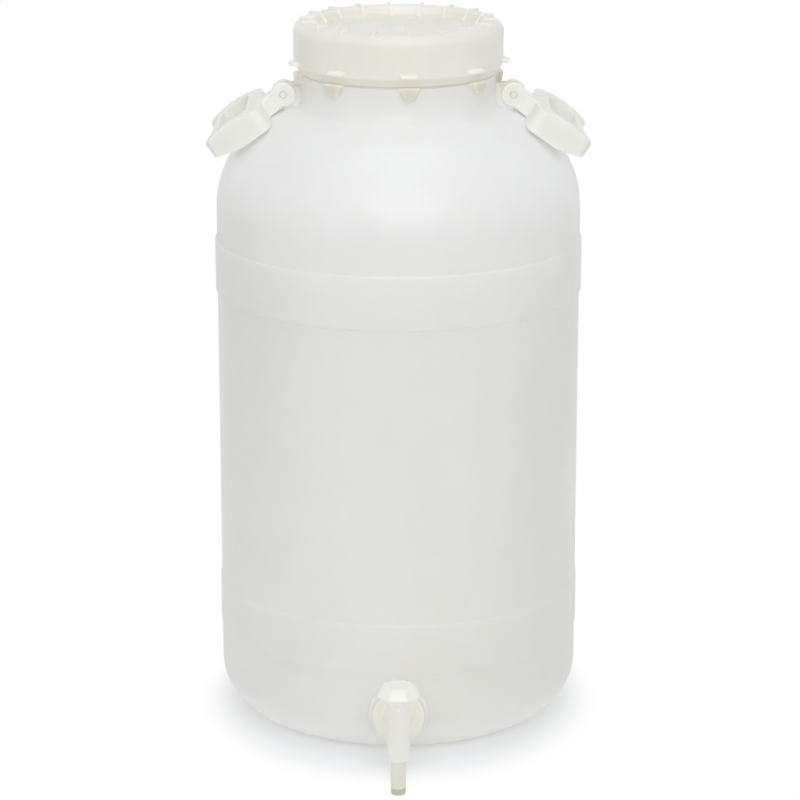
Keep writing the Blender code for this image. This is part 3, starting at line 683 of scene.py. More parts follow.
def shade_and_bulk_zone() -> bpy.types.NodeTree:
    """Make the mask of a zone painted darker: painted shade where a part faces down or sits under
    another, with the deeper tone of thick-walled parts such as lugs and lips.

    Returns:
        A group with a Mask, 1 beyond Radius from the drum's axis and between Low and High.
    """
    group = EffectGroup("shade and bulk zone", {"Place": HERE, "Radius": 0.1, "Low": 0.0, "High": 1.0},
                        {"Mask": FLOAT})
    nodes, entry = group.nodes, group.entry
    flat = nodes.add("VectorMath", {"operation": "MULTIPLY"}, n0=entry["Place"], n1=(1.0, 1.0, 0.0))
    away = nodes.add("VectorMath", {"operation": "DISTANCE"}, n0=flat.outputs[0], n1=tuple(AXIS))
    edge = nodes.sum("ADD", entry["Radius"], 0.0015)
    out = nodes.spread(away.outputs["Value"], entry["Radius"], edge)
    height = nodes.add("SeparateXYZ", Vector=entry["Place"]).outputs[2]
    above = nodes.spread(height, entry["Low"], nodes.sum("ADD", entry["Low"], 0.003))
    below = nodes.spread(height, entry["High"], nodes.sum("SUBTRACT", entry["High"], 0.0015))
    group.put("Mask", nodes.sum("MULTIPLY", out, nodes.sum("MULTIPLY", above, below)))
    return group.tree


class Effects:
    """Keeps each effect group, made when it is first asked for."""

    def __init__(self) -> None:
        """Start with no groups."""
        self.made: dict[str, bpy.types.NodeTree] = {}

    def get(self, make: Callable[[], bpy.types.NodeTree]) -> bpy.types.NodeTree:
        """Return the group that a function makes."""
        if make.__name__ not in self.made:
            self.made[make.__name__] = make()
        return self.made[make.__name__]

    def place(self, nodes: Nodes, make: Callable[[], bpy.types.NodeTree],
              **links: object) -> bpy.types.NodeSocket:
        """Put a group in a material and return its output."""
        return nodes.add("Group", {"node_tree": self.get(make)}, **links).outputs[0]


EFFECTS = Effects()


@dataclass(frozen=True)
class PaintedLightBelt:
    """A belt of a wall with painted light, an emission that stands in for light coming through it.

    Attributes:
        rise: the heights between which the light grows.
        fall: the heights between which it fades.
        tint: the painted light's colour.
    """

    rise: Point
    fall: Point
    tint: Colour


@dataclass(frozen=True)
class Plastic:
    """A moulded plastic finish.

    Attributes:
        name: the finish's name.
        tone: the colour where the wall is thin, linear.
        thick_tone: the colour where it is thick.
        roughness: how matte it is.
        cloud_scale: how small the thick and thin patches are.
        cloud_contrast: how soft the change between them is.
        grain_depth: how deep the skin's fine grain is, in metres.
        ripple_depth: how deep its soft ripple is, in metres.
        ripple_scale: how small the ripple is.
        speck_share: how many cells hold a dark speck.
        scuff_share: how much of it is scuffed.
        glow: how much light spreads inside it.
        glow_reach: how far that light spreads, in metres.
        painted_light: painted light, an even emission that stands in for light coming through the wall
            from the far side.
        foot_painted_light: how much more painted light, standing in for light from the floor coming up
            through the foot, is on the foot.
        painted_foot_height: how far up the foot that painted light reaches.
        painted_belts: the bands where more painted light is added.
        shade_and_bulk: the zone painted darker, for shade and for thick-walled parts: the least
            radius, and the lowest and highest place.
        shade_and_bulk_tone: the colour there, painted shade with the thick-walled parts' deeper tone.
        seam: how high the mould's parting line stands, in metres.
    """

    name: str
    tone: Colour
    thick_tone: Colour
    roughness: float = 0.38
    cloud_scale: float = 9.0
    cloud_contrast: float = 0.34
    grain_depth: float = 6e-6
    ripple_depth: float = 6e-5
    ripple_scale: float = 26.0
    speck_share: float = 0.0
    scuff_share: float = 0.10
    glow: float = 0.25
    glow_reach: float = 0.006
    painted_light: float = 0.10
    foot_painted_light: float = 0.0
    painted_foot_height: float = 0.045
    painted_belts: tuple[PaintedLightBelt, ...] = ()
    shade_and_bulk: tuple[float, float, float] | None = None
    shade_and_bulk_tone: Colour = (0.770, 0.745, 0.640)
    seam: float = 0.0

    def make(self) -> bpy.types.Material:
        """Make the finish's material.

        Returns:
            The material.
        """
        material = bpy.data.materials.new(self.name)
        material.use_nodes = True
        nodes = Nodes(material.node_tree)
        shader = material.node_tree.nodes["Principled BSDF"]
        place = nodes.add("TexCoord").outputs["Object"]
        cloud = EFFECTS.place(nodes, wall_cloud, Place=place, Scale=self.cloud_scale,
                              Contrast=self.cloud_contrast)
        scuffs = EFFECTS.place(nodes, rubbed_marks, Place=place, Share=self.scuff_share)
        colour = nodes.blend(cloud, (*self.tone, 1.0), (*self.thick_tone, 1.0))
        pale = nodes.sum("MULTIPLY", scuffs, SCUFF_STRENGTH)
        colour = nodes.blend(pale, colour, (*SCUFF_TONE, 1.0))
        # Painted shade: a zone painted darker where a part faces down or sits under another, mixed
        # with the deeper tone of thick-walled parts.
        if self.shade_and_bulk:
            radius, low, high = self.shade_and_bulk
            shade_and_bulk = EFFECTS.place(nodes, shade_and_bulk_zone, Place=place, Radius=radius, Low=low, High=high)
            colour = nodes.blend(shade_and_bulk, colour, (*self.shade_and_bulk_tone, 1.0))
        if self.speck_share:
            specks = EFFECTS.place(nodes, dark_specks, Place=place, Share=self.speck_share)
            dark = nodes.sum("MULTIPLY", specks, SPECK_STRENGTH)
            colour = nodes.blend(dark, colour, (*SPECK_TONE, 1.0))
        height = EFFECTS.place(nodes, moulded_skin, Place=place, Grain_Depth=self.grain_depth,
                               Ripple_Depth=self.ripple_depth, Ripple_Scale=self.ripple_scale)
        height = nodes.sum("SUBTRACT", height, nodes.sum("MULTIPLY", scuffs, SCUFF_DEPTH))
        if self.seam:
            parts = nodes.add("SeparateXYZ", Vector=place)
            across = nodes.sum("SUBTRACT", parts.outputs[1], AXIS.y)
            ridge = EFFECTS.place(nodes, parting_line, Across=across, Rise=self.seam)
            height = nodes.sum("ADD", height, ridge)
        bump = nodes.add("Bump", Strength=1.0, Distance=1.0, Height=height)
        dull = nodes.spread(cloud, 0.0, 1.0, self.roughness - DULL_LESS, self.roughness + DULL_MORE)
        dull = nodes.sum("ADD", dull, nodes.sum("MULTIPLY", scuffs, SCUFF_DULL), clamp=True)
        links = material.node_tree.links
        links.new(colour, shader.inputs["Base Color"])
        links.new(dull, shader.inputs["Roughness"])
        links.new(bump.outputs[0], shader.inputs["Normal"])
        # Painted light: emission in the finish's tone that stands in for light coming through the
        # wall, stronger at the foot and in the painted bands.
        if self.foot_painted_light:
            even, foot = (tuple(share * part for part in self.tone) + (1.0,)
                          for share in (self.painted_light, self.painted_light + self.foot_painted_light))
            low = EFFECTS.place(nodes, painted_light_ramp, Place=place, Dark=self.painted_foot_height, Lit=0.0)
            lit = nodes.blend(low, even, foot)
            # Each band adds its painted light on top.
            for belt in self.painted_belts:
                rise, fall = (EFFECTS.place(nodes, painted_light_ramp, Place=place, Dark=dark, Lit=full)
                              for dark, full in (belt.rise, reversed(belt.fall)))
                lit = nodes.blend(nodes.sum("MULTIPLY", rise, fall), lit, (*belt.tint, 1.0), "ADD")
            links.new(lit, shader.inputs["Emission Color"])
            shader.inputs["Emission Strength"].default_value = 1.0
        else:
            # Painted light: an even emission in the finish's own tone.
            shader.inputs["Emission Color"].default_value = (*self.tone, 1.0)
            shader.inputs["Emission Strength"].default_value = self.painted_light
        shader.inputs["Subsurface Weight"].default_value = self.glow
        shader.inputs["Subsurface Scale"].default_value = self.glow_reach
        shader.inputs["Subsurface Radius"].default_value = (1.0, 0.95, 0.8)
        shader.inputs["IOR"].default_value = 1.5
        return material


# Painted light: a cool painted highlight down the shoulder, where light from above falls, and warm
# painted light on the neck under the lid's edge, which lifts the shade there.
PAINTED_SHOULDER_HIGHLIGHT = PaintedLightBelt((0.46, 0.545), (0.585, 0.615), (0.045, 0.052, 0.072))
PAINTED_NECK_LIGHT = PaintedLightBelt((0.6200, 0.6225), (0.6250, 0.6290), (0.150, 0.145, 0.115))
# The body's darker zone round the neck lugs is painted shade under the lid, with the lugs' deeper
# tone.
BODY_FINISH = Plastic("drum polyethylene", (0.855, 0.846, 0.816), (0.825, 0.814, 0.772),
                      cloud_scale=7.0, speck_share=0.10, ripple_depth=1.6e-4, ripple_scale=17.0,
                      glow=0.90, glow_reach=0.005, painted_light=0.052, foot_painted_light=0.11,
                      painted_belts=(PAINTED_SHOULDER_HIGHLIGHT, PAINTED_NECK_LIGHT), shade_and_bulk=(0.0925, 0.606, 0.700),
                      shade_and_bulk_tone=(0.750, 0.720, 0.620), seam=1.5e-4)
# The lid's darker zone, its chamfer below the knee, is painted shade, as it faces down.
LID_FINISH = Plastic("lid polypropylene", (0.880, 0.850, 0.800), (0.840, 0.815, 0.735),
                     roughness=0.36, cloud_scale=16.0, glow=0.80, glow_reach=0.005, painted_light=0.066,
                     shade_and_bulk=(0.0, 0.0, 0.6305), shade_and_bulk_tone=(0.800, 0.765, 0.670))
HANDLE_FINISH = Plastic("handle polypropylene", (0.855, 0.850, 0.812), (0.825, 0.820, 0.772),
                        cloud_scale=30.0, glow=0.80, glow_reach=0.005, painted_light=0.070)
TAP_FINISH = Plastic("tap polypropylene", (0.878, 0.850, 0.778), (0.845, 0.815, 0.722),
                     roughness=0.32, cloud_scale=40.0, glow=0.80, glow_reach=0.004, painted_light=0.10)
# A darker copy of the tap's plastic, painted shade for the nozzle low by the floor; its end is painted
# darker still.
SHADED_NOZZLE_FINISH = Plastic("shaded nozzle polypropylene", (0.800, 0.795, 0.690), (0.770, 0.762, 0.645),
                        roughness=0.34, cloud_scale=40.0, glow=0.60, glow_reach=0.003, painted_light=0.06,
                        shade_and_bulk=(0.0, -1.0, 0.013), shade_and_bulk_tone=(0.560, 0.560, 0.440))
KNOB_FINISH = Plastic("knob polypropylene", (0.885, 0.880, 0.845), (0.865, 0.858, 0.815),
                      roughness=0.35, cloud_scale=40.0, glow=0.80, glow_reach=0.004, painted_light=0.11)
SEAL_FINISH = Plastic("seal rubber", (0.600, 0.580, 0.520), (0.540, 0.520, 0.460), roughness=0.75,
                      cloud_scale=30.0, grain_depth=2e-5, glow=0.05)


@dataclass
class Piece:
    """A finished piece and where it belongs.

    Attributes:
        shape: the piece's object.
        body: the moving body that it rides on.
        node: the CAD node that it stands for.
        slot: the name of its material slot; it is not used.
    """

    shape: bpy.types.Object
    body: str
    node: str
    slot: str

    def hand_over(self, finish: bpy.types.Material) -> None:
        """Dress the piece and tie it to the frame.

        Args:
            finish: its material.
        """
        self.shape.data.materials.clear()
        self.shape.data.materials.append(finish)
        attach(self.shape, self.body)
        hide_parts(self.node)
        LOG.info("%s: %d faces, rides on %s, stands for %s", self.shape.name,
                 len(self.shape.data.polygons), self.body, self.node)


@dataclass
class DrumShell:
    """The blow-moulded body: wall, bands, shoulder, neck, lugs, handle tongues and tap pad.

    Attributes: sizes in metres, the same as the CAD body's.
    """

    radius: float = 0.1714
    wall: float = 0.0028
    foot_fillet: float = 0.048
    push_up_radius: float = 0.104
    push_up: float = 0.006
    push_up_slope: float = 0.008
    push_up_round: float = 0.004
    push_up_crown: float = 0.001
    push_up_middle: float = 0.03
    shoulder_start: float = 0.4936
    shoulder_radius: float = 0.097
    neck: float = 0.0910
    neck_fillet: float = 0.010
    finish: float = 0.0885
    finish_start: float = 0.6225
    rim: float = 0.6530
    lip: float = 0.0009
    bands: tuple = ((0.415, 0.465, 0.0018), (0.085, 0.133, 0.0010))
    band_slope: float = 0.0032
    band_steps: int = 6
    lug_count: int = 8
    lug_turn: float = 6.2
    lug_top: float = 0.6217
    lug_height: float = 0.011
    lug_reach: float = 0.0070
    lug_foot_reach: float = 0.0062
    lug_width: float = 0.020
    lug_foot_width: float = 0.009
    lug_round: float = 0.0016
    hinge_reach: float = 0.1075
    hinge_height: float = 0.6005
    tongue_radius: float = 0.0105
    tongue_thickness: float = 0.012
    tongue_round: float = 0.0008
    pin_radius: float = 0.0030
    tap_height: float = 0.0475
    pad_radius: float = 0.028
    pad_rise: float = 0.0046
    pad_round: float = 0.0022
    stem_radius: float = 0.0132
    thread_pitch: float = 0.0070
    thread_depth: float = 0.0022
    thread_start: float = 0.6290
    thread_root: float = 0.0024
    thread_crest: float = 0.0010
    thread_turns: float = 2.4
    sides: int = 128

    def meeting(self) -> tuple[Point, float]:
        """Return the neck fillet's centre, and the angle where it meets the shoulder."""
        centre = self.neck + self.neck_fillet
        across = centre - (self.radius - self.shoulder_radius)
        rise = math.sqrt((self.shoulder_radius + self.neck_fillet) ** 2 - across ** 2)
        return (centre, self.shoulder_start + rise), math.degrees(math.atan2(rise, across))

    def band(self, low: float, high: float, rise: float, inset: float) -> list[Point]:
        """Return one band's soft profile, from its top edge down to its bottom edge."""
        points = []
        for middle, start, end in ((high, 0.0, rise), (low, rise, 0.0)):
            for step in range(self.band_steps + 1):
                share = step / self.band_steps
                ease = share * share * (3 - 2 * share)
                height = middle + self.band_slope * (0.5 - share)
                points.append((self.radius - inset + start + (end - start) * ease, height))
        return points

    def side(self, inset: float, bands: bool) -> list[Point]:
        """Return the profile from below the rim to the standing ring.

        Args:
            inset: how far it is moved into the wall.
            bands: whether it has the bands.

        Returns:
            (radius, height) points, from top to bottom.
        """
        centre, touch = self.meeting()
        step = self.finish_start - (self.neck - self.finish)
        points = [(self.finish - inset, self.finish_start), (self.neck - inset, step)]
        points += arc(centre, self.neck_fillet + inset, 180.0, 180.0 + touch, 8)
        shoulder = (self.radius - self.shoulder_radius, self.shoulder_start)
        points += arc(shoulder, self.shoulder_radius - inset, touch, 0.0, 26)[1:]
        if bands:
            for low, high, rise in self.bands:
                points += self.band(low, high, rise, inset)
        foot = (self.radius - self.foot_fillet, self.foot_fillet)
        points += arc(foot, self.foot_fillet - inset, 0.0, -90.0, 16)
        return points

    def underside(self, lift: float) -> list[Point]:
        """Return the profile from the standing ring to the middle of the raised bottom."""
        soft = self.push_up_round
        ring = self.push_up_radius + self.push_up_slope
        low = self.push_up + lift
        high = low + self.push_up_crown
        slope = [(ring + soft, lift, 0.0), (ring, lift, soft), (self.push_up_radius, low, soft),
                 (self.push_up_middle, high, 0.0)]
        return soften(slope, 3) + [(0.0, high)]

    def shell(self) -> bpy.types.Object:
        """Turn the body's outside, before it is hollowed."""
        rim = [(0.0, self.rim), (self.finish - self.lip, self.rim), (self.finish, self.rim - self.lip)]
        profile = rim + self.side(0.0, True) + self.underside(0.0)
        return BENCH.turn("drum_shell", profile, DRUM_LINE, self.sides)

    def lugs(self) -> list[bpy.types.Object]:
        """Make the lugs under the lid, broad on top and narrow at the foot."""
        root = self.neck - self.wall / 2
        half = self.lug_width / 2
        low = Vector((-half, -self.neck - self.lug_reach, self.lug_top - self.lug_height)) + AXIS
        high = Vector((half, -root, self.lug_top)) + AXIS
        lug = BENCH.block("lug", low, high)
        middle = (low.z + high.z) / 2
        foot = Vector((0.0, high.y, low.z))
        thin = self.lug_foot_width / self.lug_width
        near = (self.neck + self.lug_foot_reach - root) / (self.neck + self.lug_reach - root)
        for share in ((thin, 1.0, 1.0), (1.0, near, 1.0)):
            BENCH.narrow(lug, lambda place: place.z < middle, Vector(share), foot)
        BENCH.round_edges(lug, self.lug_round)
        return BENCH.repeat(lug, self.lug_count, self.lug_turn)

    def tongue(self, side: Side) -> bpy.types.Object:
        """Make the moulded tongue that a handle's pin goes through."""
        sign = side.value
        half = self.tongue_thickness / 2
        reach = self.hinge_reach
        top = self.hinge_height + self.tongue_radius
        foot = self.shoulder_start + self.shoulder_radius - self.neck_fillet
        inner = self.neck - self.wall * 0.6
        outline = [(inner, foot), (inner, top)]
        outline += arc((reach, self.hinge_height), self.tongue_radius, 90.0, -90.0, 18)
        outline.append((reach, foot))
        places = [Vector((sign * x, AXIS.y - half, z)) for x, z in outline]
        tongue = BENCH.prism("tongue", places, Vector((0.0, 2 * half, 0.0)))
        BENCH.round_edges(tongue, self.tongue_round, 2)
        return tongue

    def hinge_line(self, side: Side) -> Line:
        """Return the line through a handle's pin."""
        place = Vector((side.value * self.hinge_reach, 0.0, self.hinge_height))
        return Line(AXIS + place, FRONT, UP)

    def pad_line(self) -> Line:
        """Return the line through the tap's stem."""
        return Line(AXIS + UP * self.tap_height, FRONT, UP)

    def build(self) -> bpy.types.Object:
        """Build the whole body.

        Returns:
            The body's object.
        """
        body = self.shell()
        face = self.radius + self.pad_rise
        middle = self.radius / 2
        corners = [(0.0, middle, 0.0), (self.pad_radius, middle, 0.0),
                   (self.pad_radius, face, self.pad_round), (0.0, face, 0.0)]
        pad = BENCH.turn("pad", soften(corners), self.pad_line(), 64)
        BENCH.join(body, pad, *self.lugs())
        BENCH.join(body, *(self.tongue(side) for side in Side))
        pocket = BENCH.rod("pocket", self.pad_radius - self.wall, middle, face - self.wall,
                           self.pad_line())
        bore = self.finish - self.wall
        high = self.rim + OVERRUN
        mouth = [(0.0, high), (bore + OVERRUN, high), (bore, self.rim - self.lip)]
        hollow = BENCH.turn("hollow", mouth + self.side(self.wall, True) + self.underside(self.wall),
                            DRUM_LINE, self.sides)
        BENCH.cut(body, hollow)
        BENCH.cut(body, pocket)
        holes = [BENCH.rod("hole", self.stem_radius + GAP, middle, face + OVERRUN, self.pad_line(),
                           48)]
        for side in Side:
            reach = self.tongue_thickness
            holes.append(BENCH.rod("pin_hole", self.pin_radius + GAP, -reach, reach,
                                   self.hinge_line(side), 32))
        BENCH.cut(body, *holes)
        section = thread_section(self.finish - self.wall / 2, self.finish + self.thread_depth,
                                 self.thread_start, self.thread_root, self.thread_crest)
        ridge = BENCH.thread("neck_thread", DRUM_LINE, section, self.thread_pitch, self.thread_turns)
        BENCH.join(body, ridge)
        body.name = "drum_moulding"
        return BENCH.settle(body, 30.0)


@dataclass
class ScrewLid:
    """The screw lid: recessed top, fins across the rim and down into the recess, tabs and thread.

    Attributes: sizes in metres, the same as the CAD lid's, but for the chamfer's height, the rounding
        and the fins' rise, which follow the photograph.
    """

    radius: float = 0.0980
    wall: float = 0.0026
    top: float = 0.6700
    bottom: float = 0.6226
    chamfer: float = 0.0052
    chamfer_height: float = 0.0080
    rounding: float = 0.0105
    recess: float = 0.0790
    recess_depth: float = 0.0085
    recess_draft: float = 0.0015
    recess_round: float = 0.0025
    rim_round: float = 0.0012
    knee_round: float = 0.0015
    ring: float = 0.060
    ring_rise: float = 0.0012
    ring_foot: float = 0.004
    ring_top: float = 0.002
    ring_round: float = 0.001
    plate: float = 0.0025
    fin_count: int = 18
    fin_width: float = 0.0026
    fin_rise: float = 0.0020
    fin_inset: float = 0.0050
    fin_draft: float = 0.0008
    fin_reach_in: float = 0.0055
    fin_foot: float = 0.0015
    fin_round: float = 0.0008
    tab_count: int = 9
    tab_turn: float = 5.6
    tab_reach: float = 0.0060
    tab_width: float = 0.0180
    tab_tip_width: float = 0.0155
    tab_tip: float = 0.0028
    tab_root: float = 0.0042
    tab_above: float = 0.0008
    tab_round: float = 0.0009
    nub_radius: float = 0.007
    nub_draft: float = 0.0008
    nub_rise: float = 0.0016
    nub_sink: float = 0.001
    nub_round: float = 0.0012
    thread_depth: float = 0.0020
    thread_start: float = 0.6325
    thread_root: float = 0.0020
    thread_crest: float = 0.0008
    thread_pitch: float = 0.0070
    thread_turns: float = 1.8
    sides: int = 128

    def profile(self) -> list[Point]:
        """Return the lid's closed profile."""
        inner = self.radius - self.wall
        lip = self.radius - self.chamfer
        floor = self.top - self.recess_depth
        low = floor - self.plate
        centre = (self.radius - self.rounding, self.top - self.rounding)
        knee = self.bottom + self.chamfer_height
        ring, crest = self.ring, floor + self.ring_rise
        wide, narrow, soft = self.ring_foot, self.ring_top, self.ring_round
        outside = [(0.0, floor, 0.0), (ring - wide, floor, soft), (ring - narrow, crest, soft),
                   (ring + narrow, crest, soft), (ring + wide, floor, soft),
                   (self.recess - self.recess_draft, floor, self.recess_round),
                   (self.recess, self.top, self.rim_round), (centre[0], self.top, 0.0)]
        points = soften(outside, 4)
        points += arc(centre, self.rounding, 90.0, 0.0, 10)[1:]
        wall = [(self.radius, self.top - self.rounding, 0.0), (self.radius, knee, self.knee_round),
                (lip, self.bottom, 0.0)]
        points += soften(wall, 3)[1:]
        points += [(lip - self.wall / 2, self.bottom), (inner, knee)]
        points += arc(centre, self.rounding - self.wall, 0.0, 90.0, 6)
        skirt = self.recess + self.wall
        return points + [(skirt, self.top - self.wall), (skirt, low), (0.0, low)]

    def fin(self) -> bpy.types.Object:
        """Make one fin: it stands across the rim and slopes down to the recess floor."""
        outer = self.radius - self.fin_inset
        inner = self.recess - self.fin_reach_in
        wall = self.recess + self.wall / 2
        floor = self.top - self.recess_depth
        crest = self.top + self.fin_rise
        half = self.fin_width / 2
        low, rim = floor - self.plate / 2, self.top - self.wall / 2
        outline = [(inner, low), (wall, low), (wall, rim), (outer, rim),
                   (outer - self.fin_draft, crest), (wall, crest), (inner, floor + self.fin_foot)]
        places = [AXIS + Vector((-half, -y, z)) for y, z in outline]
        fin = BENCH.prism("fin", places, Vector((2 * half, 0.0, 0.0)))
        BENCH.round_edges(fin, self.fin_round)
        return fin

    def tab(self) -> bpy.types.Object:
        """Make one tab, deeper and wider at its root."""
        root = self.radius - self.wall / 2
        low = self.bottom + self.chamfer_height + self.tab_above
        half = self.tab_width / 2
        tab = BENCH.block("tab", AXIS + Vector((-half, -self.radius - self.tab_reach, low)),
                          AXIS + Vector((half, -root, low + self.tab_root)))
        tip = AXIS.y - self.radius
        BENCH.narrow(tab, lambda place: place.y < tip,
                     Vector((self.tab_tip_width / self.tab_width, 1.0, self.tab_tip / self.tab_root)),
                     Vector((0.0, 0.0, low)))
        BENCH.round_edges(tab, self.tab_round, 2)
        return tab

    def build(self) -> bpy.types.Object:
        """Build the lid.

        Returns:
            The lid's object.
        """
        lid = BENCH.turn("screw_lid_shell", self.profile(), DRUM_LINE, self.sides)
        floor = self.top - self.recess_depth
        low, high = floor - self.nub_sink, floor + self.nub_rise
        corners = [(0.0, low, 0.0), (self.nub_radius, low, 0.0),
                   (self.nub_radius - self.nub_draft, high, self.nub_round), (0.0, high, 0.0)]
        nub = BENCH.turn("nub", soften(corners), DRUM_LINE, 32)
        BENCH.join(lid, nub, *BENCH.repeat(self.fin(), self.fin_count, self.tab_turn),
                   *BENCH.repeat(self.tab(), self.tab_count, self.tab_turn))
        inner = self.radius - self.wall
        section = thread_section(inner + self.wall / 2, inner - self.thread_depth, self.thread_start,
                                 self.thread_root, self.thread_crest)
        ridge = BENCH.thread("lid_thread", DRUM_LINE, section, self.thread_pitch, self.thread_turns)
        BENCH.join(lid, ridge)
        lid.name = "screw_lid_moulding"
        return BENCH.settle(lid, 30.0)


@dataclass
class InnerLid:
    """The loose dished lid under the screw lid, and its seal.

    Attributes: sizes in metres, the same as the CAD pieces'.
    """

    flange_top: float = 0.6587
    flange: float = 0.0030
    flange_radius: float = 0.0885
    plug_radius: float = 0.0850
    plug_wall: float = 0.0025
    depth: float = 0.0150
    floor: float = 0.0025
    bar_length: float = 0.110
    bar_width: float = 0.005
    bar_height: float = 0.011
    bar_round: float = 0.0012
    seal: float = 0.0021
    seal_edges: Point = (0.0004, 0.0008)
    sides: int = 96

    def build_lid(self) -> bpy.types.Object:
        """Build the inner lid.

        Returns:
            The lid's object.
        """
        under = self.flange_top - self.flange
        low = under - self.depth
        dish = self.plug_radius - self.plug_wall
        floor, soft = low + self.floor, self.seal_edges[1]
        corners = [(0.0, floor, 0.0), (dish - 0.001, floor, 0.003), (dish, self.flange_top, 0.001),
                   (self.flange_radius, self.flange_top, soft), (self.flange_radius, under, soft),
                   (self.plug_radius, under, 0.0005), (self.plug_radius - 0.0005, low, 0.002),
                   (0.0, low, 0.0)]
        lid = BENCH.turn("inner_lid_shell", soften(corners), DRUM_LINE, self.sides)
        half = Vector((self.bar_length / 2, self.bar_width / 2, 0.0))
        bar = BENCH.block("bar", AXIS - half + UP * (low + self.floor / 2),
                          AXIS + half + UP * (floor + self.bar_height))
        BENCH.round_edges(bar, self.bar_round)
        BENCH.join(lid, bar)
        lid.name = "inner_lid_moulding"
        return BENCH.settle(lid)

    def build_seal(self) -> bpy.types.Object:
        """Build the seal under the flange.

        Returns:
            The seal's object.
        """
        top = self.flange_top - self.flange - GAP
        return BENCH.ring("lid_seal", (self.plug_radius + GAP, self.flange_radius),
                          (top, top - self.seal), self.seal_edges, DRUM_LINE, self.sides)


@dataclass
class FoldingHandle:
    """A folding handle on its pin. u runs out from the hinge, v along it, w up from the plate.

    Attributes: sizes in metres, the same as the CAD handle's, but for the waist, which follows the
        photograph.
    """

    side: Side
    shell: DrumShell
    droop: float = 34.9
    eye_radius: float = 0.0115
    eye_thickness: float = 0.0042
    start: float = 0.021
    end: float = 0.083
    crest: float = 0.0136
    arch: float = 0.100
    half_width: float = 0.058
    corner: float = 0.010
    end_round: float = 0.0045
    lobe: float = 0.0075
    waist_depth: float = 0.0110
    waist_share: float = 0.42
    outer_depth: float = 0.0055
    skirt: float = 0.0128
    skirt_end: float = 0.054
    window_start: float = 0.034
    window_end: float = 0.064
    window_half: float = 0.043
    window_round: float = 0.009
    yoke_flare: float = 0.012
    yoke_depth: float = 0.0095
    yoke_top: float = 0.0078
    slot_depth: float = 0.0025
    rest_gap: float = 0.0007
    pin_round: float = 0.0006
    grain: float = 0.0008
    melting: int = 3

    def frame_of(self) -> Matrix:
        """Return the matrix from (u, v, w) to the world."""
        hinge = self.shell.hinge_line(self.side).origin
        turn = 0.0 if self.side is Side.RIGHT else math.pi
        lean = Matrix.Rotation(math.radians(self.droop), 4, "Y")
        return Matrix.Translation(hinge) @ Matrix.Rotation(turn, 4, "Z") @ lean

    def place(self, u: float, v: float, w: float) -> Vector:
        """Return the world place of a point on the handle."""
        return self.frame_of() @ Vector((u, v, w))

    def way(self, u: float, v: float, w: float) -> Vector:
        """Return the world direction of a move on the handle."""
        return self.frame_of().to_3x3() @ Vector((u, v, w))

    def hinge_line(self) -> Line:
        """Return the line through the pin."""
        return Line(self.place(0.0, 0.0, 0.0), FRONT, UP)

    def side_view(self) -> list[Point]:
        """Return the (u, w) outline: arched on top, deep where it leans on the drum."""
        half = (self.end - self.start) / 2
        centre = (self.start + half, self.crest - self.arch)
        near = math.degrees(math.acos(-half / self.arch))
        far = math.degrees(math.acos((half - self.end_round) / self.arch))
        top = arc(centre, self.arch, far, near, 20)
        end = [(self.end, -self.outer_depth), (self.end, top[0][1] - self.end_round)]
        return end + top + [(self.start, -self.skirt), (self.skirt_end, -self.skirt)]

    def plan(self) -> list[Point]:
        """Return the (u, v) outline: two lobes at the outer edge and a waist between."""
        half = self.half_width
        waist = self.end - self.waist_depth
        waist_half = half * self.waist_share
        corners = [(self.start, -half, self.corner), (self.end, -half, self.lobe),
                   (waist, -waist_half, self.lobe), (waist, waist_half, self.lobe),
                   (self.end, half, self.lobe), (self.start, half, self.corner)]
        return soften(corners, 8, closed=True)

    def window(self) -> list[Point]:
        """Return the (u, v) outline of the finger opening."""
        half = self.window_half
        corners = [(self.window_start, -half), (self.window_end, -half), (self.window_end, half),
                   (self.window_start, half)]
        return soften([(u, v, self.window_round) for u, v in corners], 8, closed=True)

    def upright(self, name: str, outline: list[Point], low: float, high: float) -> bpy.types.Object:
        """Extrude a (u, v) outline between two heights."""
        places = [self.place(u, v, low) for u, v in outline]
        return BENCH.prism(name, places, self.way(0.0, 0.0, high - low))

    def build_handle(self) -> bpy.types.Object:
        """Build the handle.

        Returns:
            The handle's object.
        """
        half = self.half_width + OVERRUN
        outline = [self.place(u, -half, w) for u, w in self.side_view()]
        handle = BENCH.prism("handle", outline, self.way(0.0, 2 * half, 0.0))
        tall = self.crest + OVERRUN
        BENCH.combine(handle, [self.upright("plan", self.plan(), -tall, tall)], "INTERSECT")
        BENCH.cut(handle, self.upright("window", self.window(), -tall, tall))
        fork = self.shell.tongue_thickness / 2 + GAP
        eye = fork + self.eye_thickness
        root = (self.start + self.window_start) / 2
        flare = eye + self.yoke_flare
        yoke = [(0.0, -eye), (self.eye_radius, -eye), (root, -flare), (root, flare),
                (self.eye_radius, eye), (0.0, eye)]
        BENCH.join(handle, self.upright("yoke", yoke, -self.yoke_depth, self.yoke_top))
        BENCH.join(handle, BENCH.rod("eyes", self.eye_radius, -eye, eye, self.hinge_line()))
        reach = self.eye_radius + self.slot_depth
        slot = [(-reach, -fork), (reach, -fork), (reach, fork), (-reach, fork)]
        BENCH.cut(handle, self.upright("slot", slot, -reach, reach))
        outside = self.shell.side(-self.rest_gap, False) + self.shell.underside(0.0)
        shoulder = [(0.0, self.shell.rim)] + outside
        BENCH.cut(handle, BENCH.turn("shoulder", shoulder, DRUM_LINE, self.shell.sides))
        BENCH.melt(handle, self.grain, self.melting)
        radius = self.shell.pin_radius + GAP
        BENCH.cut(handle, BENCH.rod("pin_way", radius, -2 * eye, 2 * eye, self.hinge_line(), 32))
        handle.name = f"{self.side.name.lower()}_handle_moulding"
        return BENCH.settle(handle, 50.0)

